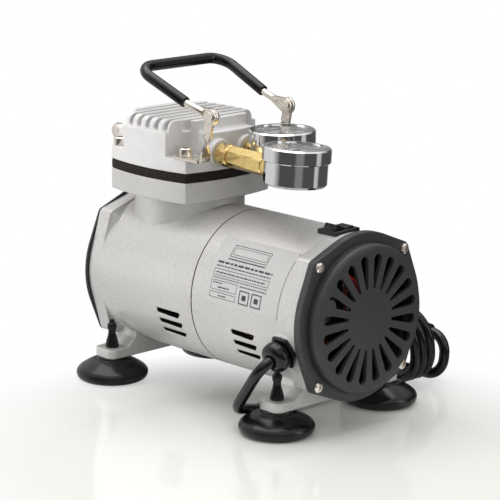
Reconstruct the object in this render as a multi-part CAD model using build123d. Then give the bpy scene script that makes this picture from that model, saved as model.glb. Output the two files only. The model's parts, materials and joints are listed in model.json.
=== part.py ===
"""Oil-less piston compressor for an airbrush: one STEP file for each separate piece.

Everything is laid out about the motor shaft: X runs along the shaft towards the switch end,
Y runs across it, Z is up, and X = 0 is the outer face of the front cover's rim. The last
step moves every piece so that the origin is on the ground, under the middle of the whole
object. All lengths are in millimetres.
"""
import os
from math import acos, atan2, cos, degrees, hypot, pi, radians, sin

from build123d import *

# ---- whole machine -------------------------------------------------------------------
AXIS_HEIGHT = 68.5          # shaft centre above the ground
ORIGIN_X = -97.25          # middle of the whole length
ORIGIN_Y = 24.9             # middle of the whole width, cord hank included
FIT_GAP = 0.05              # radial gap of two parts that are only assembled together
RUNNING_GAP = 0.06          # radial gap of a part that turns or slides on another

# ---- motor housings ------------------------------------------------------------------
BARREL_R = 50.0
BARREL_INNER_R = 46.0
FRONT_FACE_X = -5.0
SEAM_X = -97.0
REAR_FACE_X = -196.0
RIM_R = 50.05               # rim of each housing, behind its cover
EAR_LENGTH = 11.0
EAR_R = 4.4
COVER_SCREW_HALF_PITCH = 36.5
GUSSET_LENGTH = 5.0
GUSSET_SPREAD = 24.0        # degrees each way round the barrel
BULKHEAD_X = (-138.0, -130.0)
SPIDER_X = (-43.0, -35.0)
HUB_R = 20.5
TIE_BOLT_R = 2.0
TIE_BOLT_CIRCLE_R = 42.0
VENT_GROUPS_X = ((-131.0, -112.0), (-62.5, -45.0))
VENT_ANGLES = (15.5, 24.0, 32.5)
VENT_HEIGHT = 4.2
VENT_SLANT = 3.0

# ---- rating plate --------------------------------------------------------------------
PLATE_X = (-85.0, -21.5)
PLATE_ANGLES = (3.0, 28.0, 53.0)

# ---- feet ----------------------------------------------------------------------------
FOOT_X = (-25.2, -178.5)
FOOT_Y = 45.4
BEAM_WIDTH = 18.6
BEAM_HALF_LENGTH = 53.6
PAD_BOTTOM_Z = -53.8
PAD_TOP_Z = -47.8
PAD_CORNER_R = 5.0
CUP_R = 23.25
CUP_NECK_R = 3.0

# ---- end covers ----------------------------------------------------------------------
COVER_RIM_R = 52.0
COVER_RIM_THICKNESS = 5.0
PUMP_COVER_THICKNESS = 1.4
COVER_DISC_R = 45.6
COVER_DISC_RISE = 7.5
COVER_WALL = 2.5
GRILLE_SLOTS = 20
GRILLE_INNER_R = 18.7
GRILLE_OUTER_R = 40.0
GRILLE_TIP_R = 3.2
GRILLE_ROOT_R = 1.0
COVER_SCREW_R = 1.6
COVER_SCREW_HEAD_R = 3.25
COVER_SCREW_BITE = 8.0      # length of each screw inside the housing

# ---- motor ---------------------------------------------------------------------------
CORE_X = (-102.0, -66.0)
STATOR_BORE_R = 27.0
ROTOR_R = 26.7
WINDING_R = (28.2, 38.6)
WINDING_OVERHANG = 19.0
STATOR_SLOTS = 24
SHAFT_R = 6.0
CRANK_SHAFT_R = 5.0
SHAFT_X = (-194.0, -143.0, -26.0)
FAN_X = -185.5
FAN_R = 41.0
FAN_BLADES = 7
MOTOR_BEARING_R = 16.0
MOTOR_BEARING_WIDTH = 10.0
MOTOR_BEARINGS_X = (-39.0, -134.0)
MOTOR_BALL_R = 2.3
MOTOR_BALL_CIRCLE_R = 10.9

# ---- crank and piston ----------------------------------------------------------------
CYLINDER_X = -153.35
THROW = 5.5
CRANK_BEARING_WIDTH = 12.0
CRANK_BEARING_R = (12.5, 23.5)
CRANK_BALL_R = 3.3
CRANK_BALL_CIRCLE_R = 18.0
SET_SCREW_X = -164.25
SET_SCREW_R = 2.0
ROD_EYE_R = 27.5
SMALL_END_Z = 43.5
SMALL_END_R = 7.0
PISTON_TOP_Z = 67.0
PISTON_HEIGHT = 18.0
PISTON_CROWN = 5.0
CYLINDER_R = 21.0
SLEEVE_R = 24.0
SLEEVE_BOTTOM_Z = 37.5

# ---- head stack ----------------------------------------------------------------------
HEAD_HALF = 35.6
HEAD_BULGE = 4.5
NECK_R = 35.3
FLANGE_BOTTOM_Z = 54.7
FLANGE_TOP_Z = 68.0
LOWER_GASKET = 0.8
VALVE_PLATE_TOP_Z = 73.2
HEAD_BOTTOM_Z = 74.0
DECK_Z = 98.5
FIN_TOP_Z = 105.5
FIN_COUNT = 8
FIN_PITCH = 8.1
FIN_THICKNESS = 4.6
POCKET_R = 15.5
POCKET_FLOOR_Z = 83.0
HEAD_SCREW_OFFSET = (31.35, 31.9)
HEAD_SCREW_R = 2.5
CHAMBER_Y = (3.5, 25.0)
CHAMBER_HALF_X = 22.0
CHAMBER_TOP_Z = 92.0
VALVE_Y = 9.0

# ---- ports, gauges and nipples -------------------------------------------------------
PORT_Y = 12.0
PORT_Z = 85.0
PORT_BOSS_R = 9.0
PORT_FACE_X = -111.0
THREAD_R = 4.85
STEM_NECK_R = 3.4
GAUGE_CENTRES = ((-40.0, -17.2, 84.3), (-83.3, 14.0, 85.2))
GAUGE_ROLLS = (3.5, 0.0)    # lean of each dial to the far side, in degrees about its stem
GAUGE_R = 19.4
BEZEL_R = 21.0
BEZEL_BOTTOM = 7.3
GAUGE_BOTTOM = -7.3
GAUGE_TOP = 16.2
CASE_TOP = 9.6
DIAL_Z = 10.0
DIAL_THICKNESS = 0.6
GLASS_Z = 13.7
GLASS_THICKNESS = 1.95
POINTER_Z = 11.3
NEEDLE_REST = 135.0         # pointer at zero, from the direction away from the stem
NIPPLE_R = 4.85
NIPPLE_SHANK_R = 4.3
NIPPLE_LENGTH = 9.0
NIPPLE_Y = 20.0
NIPPLE_Z = 88.8

# ---- handle --------------------------------------------------------------------------
PIVOT_X = -97.9
PIVOT_Z = 112.2
PIVOT_Y = 31.35
HANDLE_KNEE = (-118.7, 33.0, 117.8)
HANDLE_CORNER = (-162.7, 36.3, 135.7)
HANDLE_ROD_R = 2.2
HANDLE_BEND_R = 12.0
GRIP_R = 3.5
RIVET_R = 2.0
EYE_THICKNESS = 2.1
EYE_R = 4.9
TANG_LENGTH = 11.0
BRACKET_THICKNESS = 1.8
BRACKET_WIDTH = 7.0
BRACKET_Y = 33.4

# ---- switch --------------------------------------------------------------------------
SWITCH_X = -20.0
SWITCH_FLAT_Z = 48.8
SWITCH_BEZEL = (15.0, 21.0, 2.8)
SWITCH_BODY = (12.8, 19.6, 19.0)
ROCKER_WIDTH = 9.6
ROCKER_AXIS_Z = 48.6
ROCKER_TILT = 10.0
ROCKER_END_R = 8.7
ROCKER_PIN_R = 1.5

# ---- cord ----------------------------------------------------------------------------
GLAND_X = -17.5
GLAND_ANGLE = 18.7
CORD_R = 3.35
HANK_CENTRE = (-58.0, 88.0, -42.6)
HANK_HALF_LENGTH = 32.0
HANK_HALF_HEIGHT = 22.0
HANK_BEND_R = 20.0
HANK_TURNS = 3
HANK_PITCH = 7.0
HANK_LEAN = 0.16
PLUG_R = 10.5
PLUG_Y = 108.0
PLUG_Z = -38.0

os.makedirs("parts", exist_ok=True)


# ---- helpers -------------------------------------------------------------------------
def save(name, *pieces):
    """Write one node, moved from the shaft's frame to the ground frame."""
    placed = [Pos(-ORIGIN_X, -ORIGIN_Y, AXIS_HEIGHT) * piece for piece in pieces]
    solids = [solid for piece in placed for solid in piece.solids()]
    shape = solids[0] if len(solids) == 1 else Compound(children=solids)
    export_step(shape, f"parts/{name}.step")


def rod_x(radius, x0, x1, y=0.0, z=0.0):
    return Pos((x0 + x1) / 2, y, z) * Rot(0, 90, 0) * Cylinder(radius, abs(x1 - x0))


def rod_y(radius, y0, y1, x=0.0, z=0.0):
    return Pos(x, (y0 + y1) / 2, z) * Rot(90, 0, 0) * Cylinder(radius, abs(y1 - y0))


def rod_z(radius, z0, z1, x=0.0, y=0.0):
    return Pos(x, y, (z0 + z1) / 2) * Cylinder(radius, abs(z1 - z0))


def tube_x(outer, inner, x0, x1, y=0.0, z=0.0):
    return rod_x(outer, x0, x1, y, z) - rod_x(inner, x0 - 1, x1 + 1, y, z)


def tube_z(outer, inner, z0, z1, x=0.0, y=0.0):
    return rod_z(outer, z0, z1, x, y) - rod_z(inner, z0 - 1, z1 + 1, x, y)


def block(x0, x1, y0, y1, z0, z1):
    return Pos((x0 + x1) / 2, (y0 + y1) / 2, (z0 + z1) / 2) * Box(x1 - x0, y1 - y0, z1 - z0)


def turned(*profile):
    """Solid of revolution about Z from (radius, height) points."""
    return revolve(Plane.XZ * make_face(Polyline(*profile, close=True)), Axis.Z)


def linked_circles(r_big, r_small, distance):
    """Outline of two circles on the X axis joined by their outer tangents."""
    angle = acos((r_big - r_small) / distance)
    near = (r_big * cos(angle), r_big * sin(angle))
    far = (distance + r_small * cos(angle), r_small * sin(angle))
    web = make_face(Polyline(near, far, (far[0], -far[1]), (near[0], -near[1]), close=True))
    return web + Circle(r_big) + Pos(distance, 0) * Circle(r_small)


def eared_outline(radius, ear_r):
    """Round rim with four ears on the diagonals, one for each cover screw."""
    outline = Circle(radius)
    for k in range(4):
        outline += Rot(0, 0, 45 + 90 * k) * linked_circles(radius, ear_r, EAR_CIRCLE_R)
    return outline


def hexagon(across_flats, length):
    """Hexagon bar along Z, starting at Z = 0."""
    return extrude(RegularPolygon(across_flats / 2, 6, major_radius=False), length)


def hex_bar(across_flats, x0, x1):
    """Hexagon bar along X with its corners turned down and both ends chamfered."""
    corner_r = 0.55 * across_flats
    slope = 2.0 * (corner_r - across_flats / 2)
    length = x1 - x0
    envelope = turned((0, 0), (across_flats / 2, 0), (corner_r, slope), (corner_r, length - slope),
                      (across_flats / 2, length), (0, length))
    return Pos(x0, 0, 0) * Rot(0, 90, 0) * (hexagon(across_flats, length) & envelope)


def bulged_square(half, bulge, z0, z1):
    """Square prism about the cylinder's axis whose sides bow outwards."""
    corners = [(half, -half), (half, half), (-half, half), (-half, -half)]
    reach = half + bulge
    middles = [(reach, 0), (0, reach), (-reach, 0), (0, -reach)]
    arcs = [ThreePointArc(corners[k], middles[k], corners[(k + 1) % 4]) for k in range(4)]
    face = make_face(Curve() + arcs)
    return Pos(CYLINDER_X, 0, z0) * extrude(face, z1 - z0)


EAR_CIRCLE_R = COVER_SCREW_HALF_PITCH * 2 ** 0.5
FRONT_PLANE = Plane((FRONT_FACE_X, 0, 0), x_dir=(0, 1, 0), z_dir=(1, 0, 0))
REAR_PLANE = Plane((REAR_FACE_X, 0, 0), x_dir=(0, -1, 0), z_dir=(-1, 0, 0))
DIAGONALS = (45, 135, 225, 315)
CORNERS = ((1, 1), (1, -1), (-1, 1), (-1, -1))
HEAD_SCREWS = [(CYLINDER_X + sx * HEAD_SCREW_OFFSET[0], sy * HEAD_SCREW_OFFSET[1]) for sx, sy in CORNERS]


# ---- housings ------------------------------------------------------------------------
def gusset():
    """Three-sided web that stiffens an ear from behind, along the X axis of the rim's plane."""
    root = BARREL_R - 0.5
    side = (root * cos(radians(GUSSET_SPREAD)), root * sin(radians(GUSSET_SPREAD)))
    tip = EAR_CIRCLE_R + EAR_R - 0.8
    base = make_face(Polyline((tip, 0), side, (side[0], -side[1]), close=True))
    return loft([Pos(0, 0, -EAR_LENGTH) * base, Vertex(root, 0, -EAR_LENGTH - GUSSET_LENGTH)])


def housing_end(plane, gusset_angles):
    """Rim, ears and the gussets behind some of the ears, behind one cover."""
    end = Pos(0, 0, -EAR_LENGTH) * extrude(eared_outline(RIM_R, EAR_R), EAR_LENGTH)
    for angle in gusset_angles:
        end += Rot(0, 0, angle) * gusset()
    return plane * end


def foot_beam(x_centre):
    """Cross beam with a pad at each end for a suction foot."""
    outline = Polyline((-BEAM_HALF_LENGTH, PAD_BOTTOM_Z), (BEAM_HALF_LENGTH, PAD_BOTTOM_Z),
                       (BEAM_HALF_LENGTH, PAD_TOP_Z), (39.5, PAD_TOP_Z), (33.5, -42.0),
                       (31.0, -30.0), (-31.0, -30.0), (-33.5, -42.0), (-39.5, PAD_TOP_Z),
                       (-BEAM_HALF_LENGTH, PAD_TOP_Z), close=True)
    plane = Plane((x_centre, 0, 0), x_dir=(0, 1, 0), z_dir=(1, 0, 0))
    beam = plane * extrude(make_face(outline), BEAM_WIDTH / 2, both=True)
    rounded = RectangleRounded(BEAM_WIDTH, 2 * BEAM_HALF_LENGTH, PAD_CORNER_R)
    beam &= Pos(x_centre, 0, PAD_BOTTOM_Z) * extrude(rounded, 30)
    for side in (-1, 1):
        beam -= rod_z(CUP_NECK_R + FIT_GAP, -60, -40, x_centre, side * FOOT_Y)
    return beam


def vents(x0, x1):
    """Three slanted cooling slots on each side of the barrel."""
    cuts = Part()
    for side in (-1, 1):
        for angle in VENT_ANGLES:
            slot = Polyline((x0, -VENT_HEIGHT / 2 + VENT_SLANT / 3), (x1, -VENT_HEIGHT / 2),
                            (x1 + VENT_SLANT, VENT_HEIGHT / 2), (x0, VENT_HEIGHT / 2), close=True)
            cutter = extrude(make_face(slot), 12)
            facing = Plane((0, -42, 0), x_dir=(1, 0, 0), z_dir=(0, -1, 0))
            placed = Rot(angle, 0, 0) * (facing * cutter)
            cuts += placed if side < 0 else mirror(placed, Plane.XZ)
    return cuts


def tie_bolt_spots():
    return [(TIE_BOLT_CIRCLE_R * cos(radians(a)), TIE_BOLT_CIRCLE_R * sin(radians(a))) for a in DIAGONALS]


def bearing_web(x0, x1, seat_x0, seat_x1):
    """Hub with a bearing seat, held by four diagonal arms."""
    web = rod_x(HUB_R, min(x0, seat_x0) - 0.5, max(x1, seat_x1) + 0.5)
    for angle in DIAGONALS:
        arm = block(x0, x1, 10, BARREL_INNER_R + 1.5, -7, 7)
        web += Rot(angle, 0, 0) * arm
    web -= rod_x(MOTOR_BEARING_R + 0.02, seat_x0, seat_x1)
    web -= rod_x(MOTOR_BEARING_R - 4, x0 - 10, x1 + 10)
    for y, z in tie_bolt_spots():
        web -= rod_x(TIE_BOLT_R + FIT_GAP, x0 - 5, x1 + 5, y, z)
    return web


def gland_frame():
    """Plane on the barrel where the cord comes out, its Z pointing straight out of the wall."""
    out = Vector(0, -cos(radians(GLAND_ANGLE)), -sin(radians(GLAND_ANGLE)))
    return Plane(Vector(GLAND_X, 0, 0) + out * BARREL_R, x_dir=(1, 0, 0), z_dir=out)


def front_housing():
    body = rod_x(BARREL_R, SEAM_X, FRONT_FACE_X) + housing_end(FRONT_PLANE, (225, 315)) + foot_beam(FOOT_X[0])
    body += gland_frame() * Pos(0, 0, -3) * Cylinder(11.0, 6.2)
    body -= rod_x(BARREL_INNER_R, SEAM_X - 1, FRONT_FACE_X + 1)
    body += bearing_web(SPIDER_X[0], SPIDER_X[1], -44.0, -34.0)
    body -= vents(*VENT_GROUPS_X[1])
    length, width = SWITCH_BEZEL[0] + 1.0, SWITCH_BEZEL[1] + 0.6
    body -= Pos(SWITCH_X, 0, SWITCH_FLAT_Z + 5) * Box(length, width, 10)
    body -= Pos(SWITCH_X, 0, SWITCH_FLAT_Z) * Box(SWITCH_BODY[0] + 0.3, SWITCH_BODY[1] + 0.3, 20)
    body -= gland_frame() * Cylinder(7.5 + FIT_GAP, 24)
    body -= gland_frame() * Pos(0, 0, 3.2) * Cylinder(11.3, 6.0)
    for y, z in cover_screw_spots():
        body -= rod_x(COVER_SCREW_R + 0.02, FRONT_FACE_X - 9, FRONT_FACE_X + 1, y, z)
    return body


def rear_housing():
    body = rod_x(BARREL_R, REAR_FACE_X, SEAM_X) + housing_end(REAR_PLANE, DIAGONALS) + foot_beam(FOOT_X[1])
    body += rod_z(NECK_R, 20, FLANGE_BOTTOM_Z, CYLINDER_X)
    body -= rod_x(BARREL_INNER_R, REAR_FACE_X - 1, SEAM_X + 1)
    body += bulged_square(HEAD_HALF, HEAD_BULGE, FLANGE_BOTTOM_Z, FLANGE_TOP_Z)
    body += bearing_web(BULKHEAD_X[0], BULKHEAD_X[1], -139.0, -129.0)
    body -= vents(*VENT_GROUPS_X[0])
    body -= rod_z(SLEEVE_R + FIT_GAP, 30, FLANGE_TOP_Z + 1, CYLINDER_X)
    body -= rod_z(SLEEVE_R + 2 + FIT_GAP, FLANGE_TOP_Z - 2.05, FLANGE_TOP_Z + 1, CYLINDER_X)
    for x, y in HEAD_SCREWS:
        body -= rod_z(HEAD_SCREW_R + 0.02, FLANGE_BOTTOM_Z - 1, FLANGE_TOP_Z + 1, x, y)
    for y, z in cover_screw_spots():
        body -= rod_x(COVER_SCREW_R + 0.02, REAR_FACE_X - 1, REAR_FACE_X + 9, y, z)
    return body


def cover_screw_spots():
    return [(sy * COVER_SCREW_HALF_PITCH, sz * COVER_SCREW_HALF_PITCH) for sy, sz in CORNERS]


# ---- covers --------------------------------------------------------------------------
def with_openings(cover, z0):
    """Cut the ring of cooling slots, above height z0, and the four screw holes."""
    reach = GRILLE_OUTER_R - GRILLE_TIP_R
    root = GRILLE_INNER_R + GRILLE_ROOT_R
    slot = linked_circles(GRILLE_TIP_R, GRILLE_ROOT_R, reach - root)
    slot = Pos(reach, 0) * Rot(0, 0, 180) * slot
    cutter = Pos(0, 0, z0 - 1) * extrude(slot, COVER_WALL + 2)
    step = 360 / GRILLE_SLOTS
    for k in range(GRILLE_SLOTS):
        cover -= Rot(0, 0, step / 2 + step * k) * cutter
    for y, z in cover_screw_spots():
        cover -= Pos(y, z, 0) * Cylinder(COVER_SCREW_R + 0.2, 30)
    return cover


def end_cover():
    """Grille cover, built with its outer face up and its back on Z = 0."""
    face_z = COVER_RIM_THICKNESS + COVER_DISC_RISE
    rim = extrude(eared_outline(COVER_RIM_R, EAR_R), COVER_RIM_THICKNESS)
    rim = fillet(rim.faces().sort_by(Axis.Z)[-1].edges(), 0.8)
    disc = Pos(0, 0, face_z / 2) * Cylinder(COVER_DISC_R, face_z)
    disc = fillet(disc.edges().sort_by(Axis.Z)[-1], 3.0)
    cover = rim + disc
    cover -= Pos(0, 0, COVER_RIM_THICKNESS) * tube_z(COVER_DISC_R + 1.1, COVER_DISC_R, -0.7, 0.5)
    inner_r = COVER_DISC_R - COVER_WALL
    cover -= Pos(0, 0, (face_z - COVER_WALL) / 2) * Cylinder(inner_r, face_z - COVER_WALL)
    return with_openings(cover, face_z - COVER_WALL)


def pump_cover():
    """Thin flat cover of the pump end, built like end_cover()."""
    plate = extrude(eared_outline(COVER_RIM_R, EAR_R), PUMP_COVER_THICKNESS)
    plate = fillet(plate.faces().sort_by(Axis.Z)[-1].edges(), 0.4)
    return with_openings(plate, 0.0)


def cover_screw(length):
    """Cross-head screw along Z with its head seated on Z = 0."""
    head = turned((0, 0), (COVER_SCREW_HEAD_R, 0), (COVER_SCREW_HEAD_R, 1.1), (2.3, 1.9), (0, 2.1))
    screw = head + Pos(0, 0, -length / 2) * Cylinder(COVER_SCREW_R, length)
    for angle in (0, 90):
        screw -= Rot(0, 0, angle) * Pos(0, 0, 1.8) * Box(3.6, 0.8, 1.6)
    return screw


def cover_screws(plane, thickness):
    seat = Pos(0, 0, thickness)
    screw = cover_screw(thickness + COVER_SCREW_BITE)
    return [plane * (Pos(y, z, 0) * seat * Rot(0, 0, 20 * k) * screw)
            for k, (y, z) in enumerate(cover_screw_spots())]


# ---- feet ----------------------------------------------------------------------------
def suction_foot():
    """Rubber cup, neck through the pad and pull-through tail, in one moulding."""
    ground = -AXIS_HEIGHT
    pad = PAD_BOTTOM_Z - 0.05
    top = PAD_TOP_Z + 0.05
    profile = [(0, ground + 5.5), (11.5, ground + 4.6), (17.0, ground + 2.2), (19.2, ground),
               (20.6, ground), (22.3, ground + 1.6), (CUP_R, ground + 3.6), (CUP_R, ground + 4.8),
               (22.4, ground + 6.4), (20.6, ground + 8.0), (17.6, ground + 10.0),
               (14.2, ground + 12.0), (9.6, pad), (CUP_NECK_R, pad), (CUP_NECK_R, top),
               (4.1, top), (4.2, top + 1.6), (3.6, top + 4.6), (2.6, top + 8.4), (2.5, top + 11.0),
               (2.9, top + 12.8), (2.9, top + 14.8), (1.7, top + 16.6), (1.3, top + 18.2),
               (0, top + 18.5)]
    return turned(*profile)


def suction_feet():
    return [Pos(x, side * FOOT_Y, 0) * suction_foot() for x in FOOT_X for side in (-1, 1)]


# ---- motor ---------------------------------------------------------------------------
def stator_core():
    core = tube_x(BARREL_INNER_R - FIT_GAP, STATOR_BORE_R, *CORE_X)
    length = CORE_X[1] - CORE_X[0] + 2
    middle = (CORE_X[0] + CORE_X[1]) / 2
    for k in range(STATOR_SLOTS):
        turn = Rot(360 / STATOR_SLOTS * k, 0, 0)
        core -= turn * (Pos(middle, 0, 33.0) * Box(length, 3.0, 9.6))
    for y, z in tie_bolt_spots():
        core -= rod_x(TIE_BOLT_R + FIT_GAP, CORE_X[0] - 1, CORE_X[1] + 1, y, z)
    return core


def stator_windings():
    """Two end turns joined by the wires that lie in the core's slots."""
    front = tube_x(WINDING_R[1], WINDING_R[0], CORE_X[1] + 0.4, CORE_X[1] + WINDING_OVERHANG)
    front = fillet(front.edges().group_by(Axis.X)[-1], 3.0)
    rear = tube_x(WINDING_R[1], WINDING_R[0], CORE_X[0] - WINDING_OVERHANG, CORE_X[0] - 0.4)
    rear = fillet(rear.edges().group_by(Axis.X)[0], 3.0)
    windings = front + rear
    middle = (CORE_X[0] + CORE_X[1]) / 2
    for k in range(STATOR_SLOTS):
        bar = Pos(middle, 0, 33.0) * Box(CORE_X[1] - CORE_X[0] + 4, 2.6, 9.0)
        windings += Rot(360 / STATOR_SLOTS * k, 0, 0) * bar
    return windings


def tie_bolts():
    """Long screws that clamp the two housings and the core between them."""
    bolts = []
    for y, z in tie_bolt_spots():
        bolt = rod_x(TIE_BOLT_R, BULKHEAD_X[0] - 3, SPIDER_X[1] + 0.02, y, z)
        bolt += rod_x(3.4, SPIDER_X[1] + 0.02, SPIDER_X[1] + 3.6, y, z)
        bolts.append(bolt)
    return bolts


def rotor_core():
    rotor = rod_x(ROTOR_R, *CORE_X)
    for x0, x1 in ((CORE_X[0] - 5, CORE_X[0]), (CORE_X[1], CORE_X[1] + 5)):
        rotor += rod_x(23.0, x0, x1)
    for k in range(8):
        turn = Rot(45 * k, 0, 0)
        rotor += turn * block(CORE_X[1] + 4, CORE_X[1] + 11, 17, 22, -1.2, 1.2)
        rotor += turn * block(CORE_X[0] - 11, CORE_X[0] - 4, 17, 22, -1.2, 1.2)
    return rotor - rod_x(SHAFT_R + 0.02, CORE_X[0] - 20, CORE_X[1] + 20)


def motor_shaft():
    shaft = rod_x(SHAFT_R, SHAFT_X[1], SHAFT_X[2]) + rod_x(CRANK_SHAFT_R, SHAFT_X[0], SHAFT_X[1])
    return chamfer(shaft.edges().group_by(Axis.X)[-1], 0.8)


def bearing_races(inner_r, outer_r, width, ball_r, ball_circle_r, x_middle, z=0.0):
    """Outer ring with its two shields, and inner ring, each with a groove for the balls."""
    x0, x1 = x_middle - width / 2, x_middle + width / 2
    groove = Pos(x_middle, 0, z) * Rot(0, 90, 0) * Torus(ball_circle_r, ball_r + 0.05)
    outer = tube_x(outer_r, ball_circle_r + 0.55 * ball_r, x0, x1, 0, z) - groove
    inner = tube_x(ball_circle_r - 0.55 * ball_r, inner_r, x0, x1, 0, z) - groove
    for edge0, edge1 in ((x0 + 0.2, x0 + 1.0), (x1 - 1.0, x1 - 0.2)):
        outer += tube_x(outer_r - 0.5, ball_circle_r - 0.4 * ball_r, edge0, edge1, 0, z)
    return outer, inner


def bearing_balls(count, ball_r, ball_circle_r, x_middle, z=0.0):
    balls = []
    for k in range(count):
        angle = 2 * pi * k / count
        spot = Pos(x_middle, ball_circle_r * cos(angle), z + ball_circle_r * sin(angle))
        balls.append(spot * Sphere(ball_r))
    return balls


def cooling_fan():
    fan = tube_x(11.0, CRANK_SHAFT_R + 0.02, FAN_X - 6, FAN_X + 6)
    blade = Rot(0, 0, 32) * Box(14.0, 1.8, 31.0)
    for k in range(FAN_BLADES):
        fan += Rot(360 / FAN_BLADES * k, 0, 0) * Pos(FAN_X, 0, 25.5) * blade
    return fan & rod_x(FAN_R, FAN_X - 8, FAN_X + 8)


# ---- crank and piston ----------------------------------------------------------------
def crank_eccentric():
    """Eccentric journal with a collar and a counterweight, shown with the crank at the top."""
    journal = rod_x(CRANK_BEARING_R[0] - 0.02, -160.5, -146.6, 0, THROW)
    collar = rod_x(14.5, -161.0, -159.6, 0, THROW)
    weight = rod_x(30.0, -168.0, -160.5) - block(-170, -150, -40, 40, -6, 40)
    hub = rod_x(13.0, -168.0, -160.5)
    return journal + collar + weight + hub - rod_x(CRANK_SHAFT_R + 0.02, -170, -140)  \
        - rod_z(SET_SCREW_R + 0.02, -40, 0, SET_SCREW_X)


def connecting_rod():
    x0, x1 = CYLINDER_X - 5, CYLINDER_X + 5
    rod = rod_x(ROD_EYE_R, x0, x1, 0, THROW) + rod_x(SMALL_END_R, x0, x1, 0, SMALL_END_Z)
    rod += block(x0 + 1.5, x1 - 1.5, -6.0, 6.0, THROW, SMALL_END_Z)
    rod -= rod_x(CRANK_BEARING_R[1] + 0.02, x0 - 1, x1 + 1, 0, THROW)
    return rod - rod_x(3.52, x0 - 1, x1 + 1, 0, SMALL_END_Z)


def piston():
    bottom = PISTON_TOP_Z - PISTON_HEIGHT
    body = rod_z(CYLINDER_R - RUNNING_GAP, bottom, PISTON_TOP_Z, CYLINDER_X)
    body -= rod_z(17.3, bottom - 1, PISTON_TOP_Z - PISTON_CROWN, CYLINDER_X)
    return body - tube_z(30, 18.6, PISTON_TOP_Z - 3.9, PISTON_TOP_Z - 1.9, CYLINDER_X)


def piston_ring():
    ring = tube_z(CYLINDER_R - 0.04, 18.7, PISTON_TOP_Z - 3.85, PISTON_TOP_Z - 1.95, CYLINDER_X)
    return ring - Pos(CYLINDER_X + 20, 0, PISTON_TOP_Z - 3) * Box(8, 0.4, 6)


def cylinder_sleeve():
    sleeve = rod_z(SLEEVE_R, SLEEVE_BOTTOM_Z, FLANGE_TOP_Z, CYLINDER_X)
    sleeve += rod_z(SLEEVE_R + 2, FLANGE_TOP_Z - 2, FLANGE_TOP_Z, CYLINDER_X)
    return sleeve - rod_z(CYLINDER_R, SLEEVE_BOTTOM_Z - 1, FLANGE_TOP_Z + 1, CYLINDER_X)


# ---- head stack ----------------------------------------------------------------------
def without_head_screws(shape, z0, z1):
    for x, y in HEAD_SCREWS:
        shape -= rod_z(HEAD_SCREW_R + 0.25, z0 - 1, z1 + 1, x, y)
    return shape


def chamber(side, z0, z1, margin=0.0):
    y0, y1 = CHAMBER_Y[0] - margin, CHAMBER_Y[1] + margin
    low, high = (y0, y1) if side > 0 else (-y1, -y0)
    half = CHAMBER_HALF_X + margin
    return block(CYLINDER_X - half, CYLINDER_X + half, low, high, z0, z1)


def lower_gasket():
    z1 = FLANGE_TOP_Z + LOWER_GASKET
    gasket = bulged_square(HEAD_HALF - 0.3, HEAD_BULGE, FLANGE_TOP_Z, z1)
    gasket -= rod_z(CYLINDER_R + 0.5, FLANGE_TOP_Z - 1, z1 + 1, CYLINDER_X)
    return without_head_screws(gasket, FLANGE_TOP_Z, z1)


def valve_plate():
    z0, z1 = FLANGE_TOP_Z + LOWER_GASKET, VALVE_PLATE_TOP_Z
    plate = bulged_square(HEAD_HALF - 0.1, HEAD_BULGE, z0, z1)
    for side in (-1, 1):
        plate -= rod_z(3.0, z0 - 1, z1 + 1, CYLINDER_X + 6, side * VALVE_Y)
        plate -= rod_z(1.02, z0 - 1, z1 + 1, CYLINDER_X - 10, side * VALVE_Y)
    return without_head_screws(plate, z0, z1)


def reed(side, z0):
    """Spring-steel leaf, clamped at one end, that covers a port at the other."""
    leaf = extrude(RectangleRounded(24, 9, 4), 0.3) - Pos(-8.5, 0, 0) * Cylinder(1.05, 4)
    return Pos(CYLINDER_X - 1.5, side * VALVE_Y, z0) * leaf


def reed_stop():
    stop = extrude(RectangleRounded(22, 7, 3), 1.0) - Pos(-7.5, 0, 0) * Cylinder(1.05, 4)
    spacer = Pos(-7.5, 0, -0.5) * (Cylinder(2.6, 1.0) - Cylinder(1.05, 3))
    return Pos(CYLINDER_X - 2.5, -VALVE_Y, VALVE_PLATE_TOP_Z + 1.35) * (stop + spacer)


def reed_rivets():
    x = CYLINDER_X - 10
    low = FLANGE_TOP_Z + LOWER_GASKET
    suction = rod_z(1.0, low - 0.32, VALVE_PLATE_TOP_Z + 0.02, x, VALVE_Y)
    suction += rod_z(1.8, low - 0.7, low - 0.32, x, VALVE_Y)
    suction += rod_z(1.8, VALVE_PLATE_TOP_Z + 0.02, VALVE_PLATE_TOP_Z + 0.8, x, VALVE_Y)
    discharge = rod_z(1.0, low + 0.4, VALVE_PLATE_TOP_Z + 2.4, x, -VALVE_Y)
    discharge += rod_z(1.8, VALVE_PLATE_TOP_Z + 2.4, VALVE_PLATE_TOP_Z + 3.2, x, -VALVE_Y)
    return suction, discharge


def head_gasket():
    gasket = bulged_square(HEAD_HALF - 0.3, HEAD_BULGE, VALVE_PLATE_TOP_Z, HEAD_BOTTOM_Z)
    for side in (-1, 1):
        gasket -= chamber(side, VALVE_PLATE_TOP_Z - 1, HEAD_BOTTOM_Z + 1)
    return without_head_screws(gasket, VALVE_PLATE_TOP_Z, HEAD_BOTTOM_Z)


def head_fins():
    """Row of cooling fins on the deck, each with rounded upper corners."""
    fins = Part()
    height = FIN_TOP_Z - DECK_Z + 2
    for k in range(FIN_COUNT):
        x = CYLINDER_X + (k - (FIN_COUNT - 1) / 2) * FIN_PITCH
        reach = HEAD_HALF - 2.0 + HEAD_BULGE * (1 - ((x - CYLINDER_X) / HEAD_HALF) ** 2) * 0.6
        fin = Pos(x, 0, DECK_Z - 2 + height / 2) * Box(FIN_THICKNESS, 2 * reach, height)
        ends = fin.edges().filter_by(Axis.X).group_by(Axis.Z)[-1]
        fins += fillet(ends, 5.5)
    return fins


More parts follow.
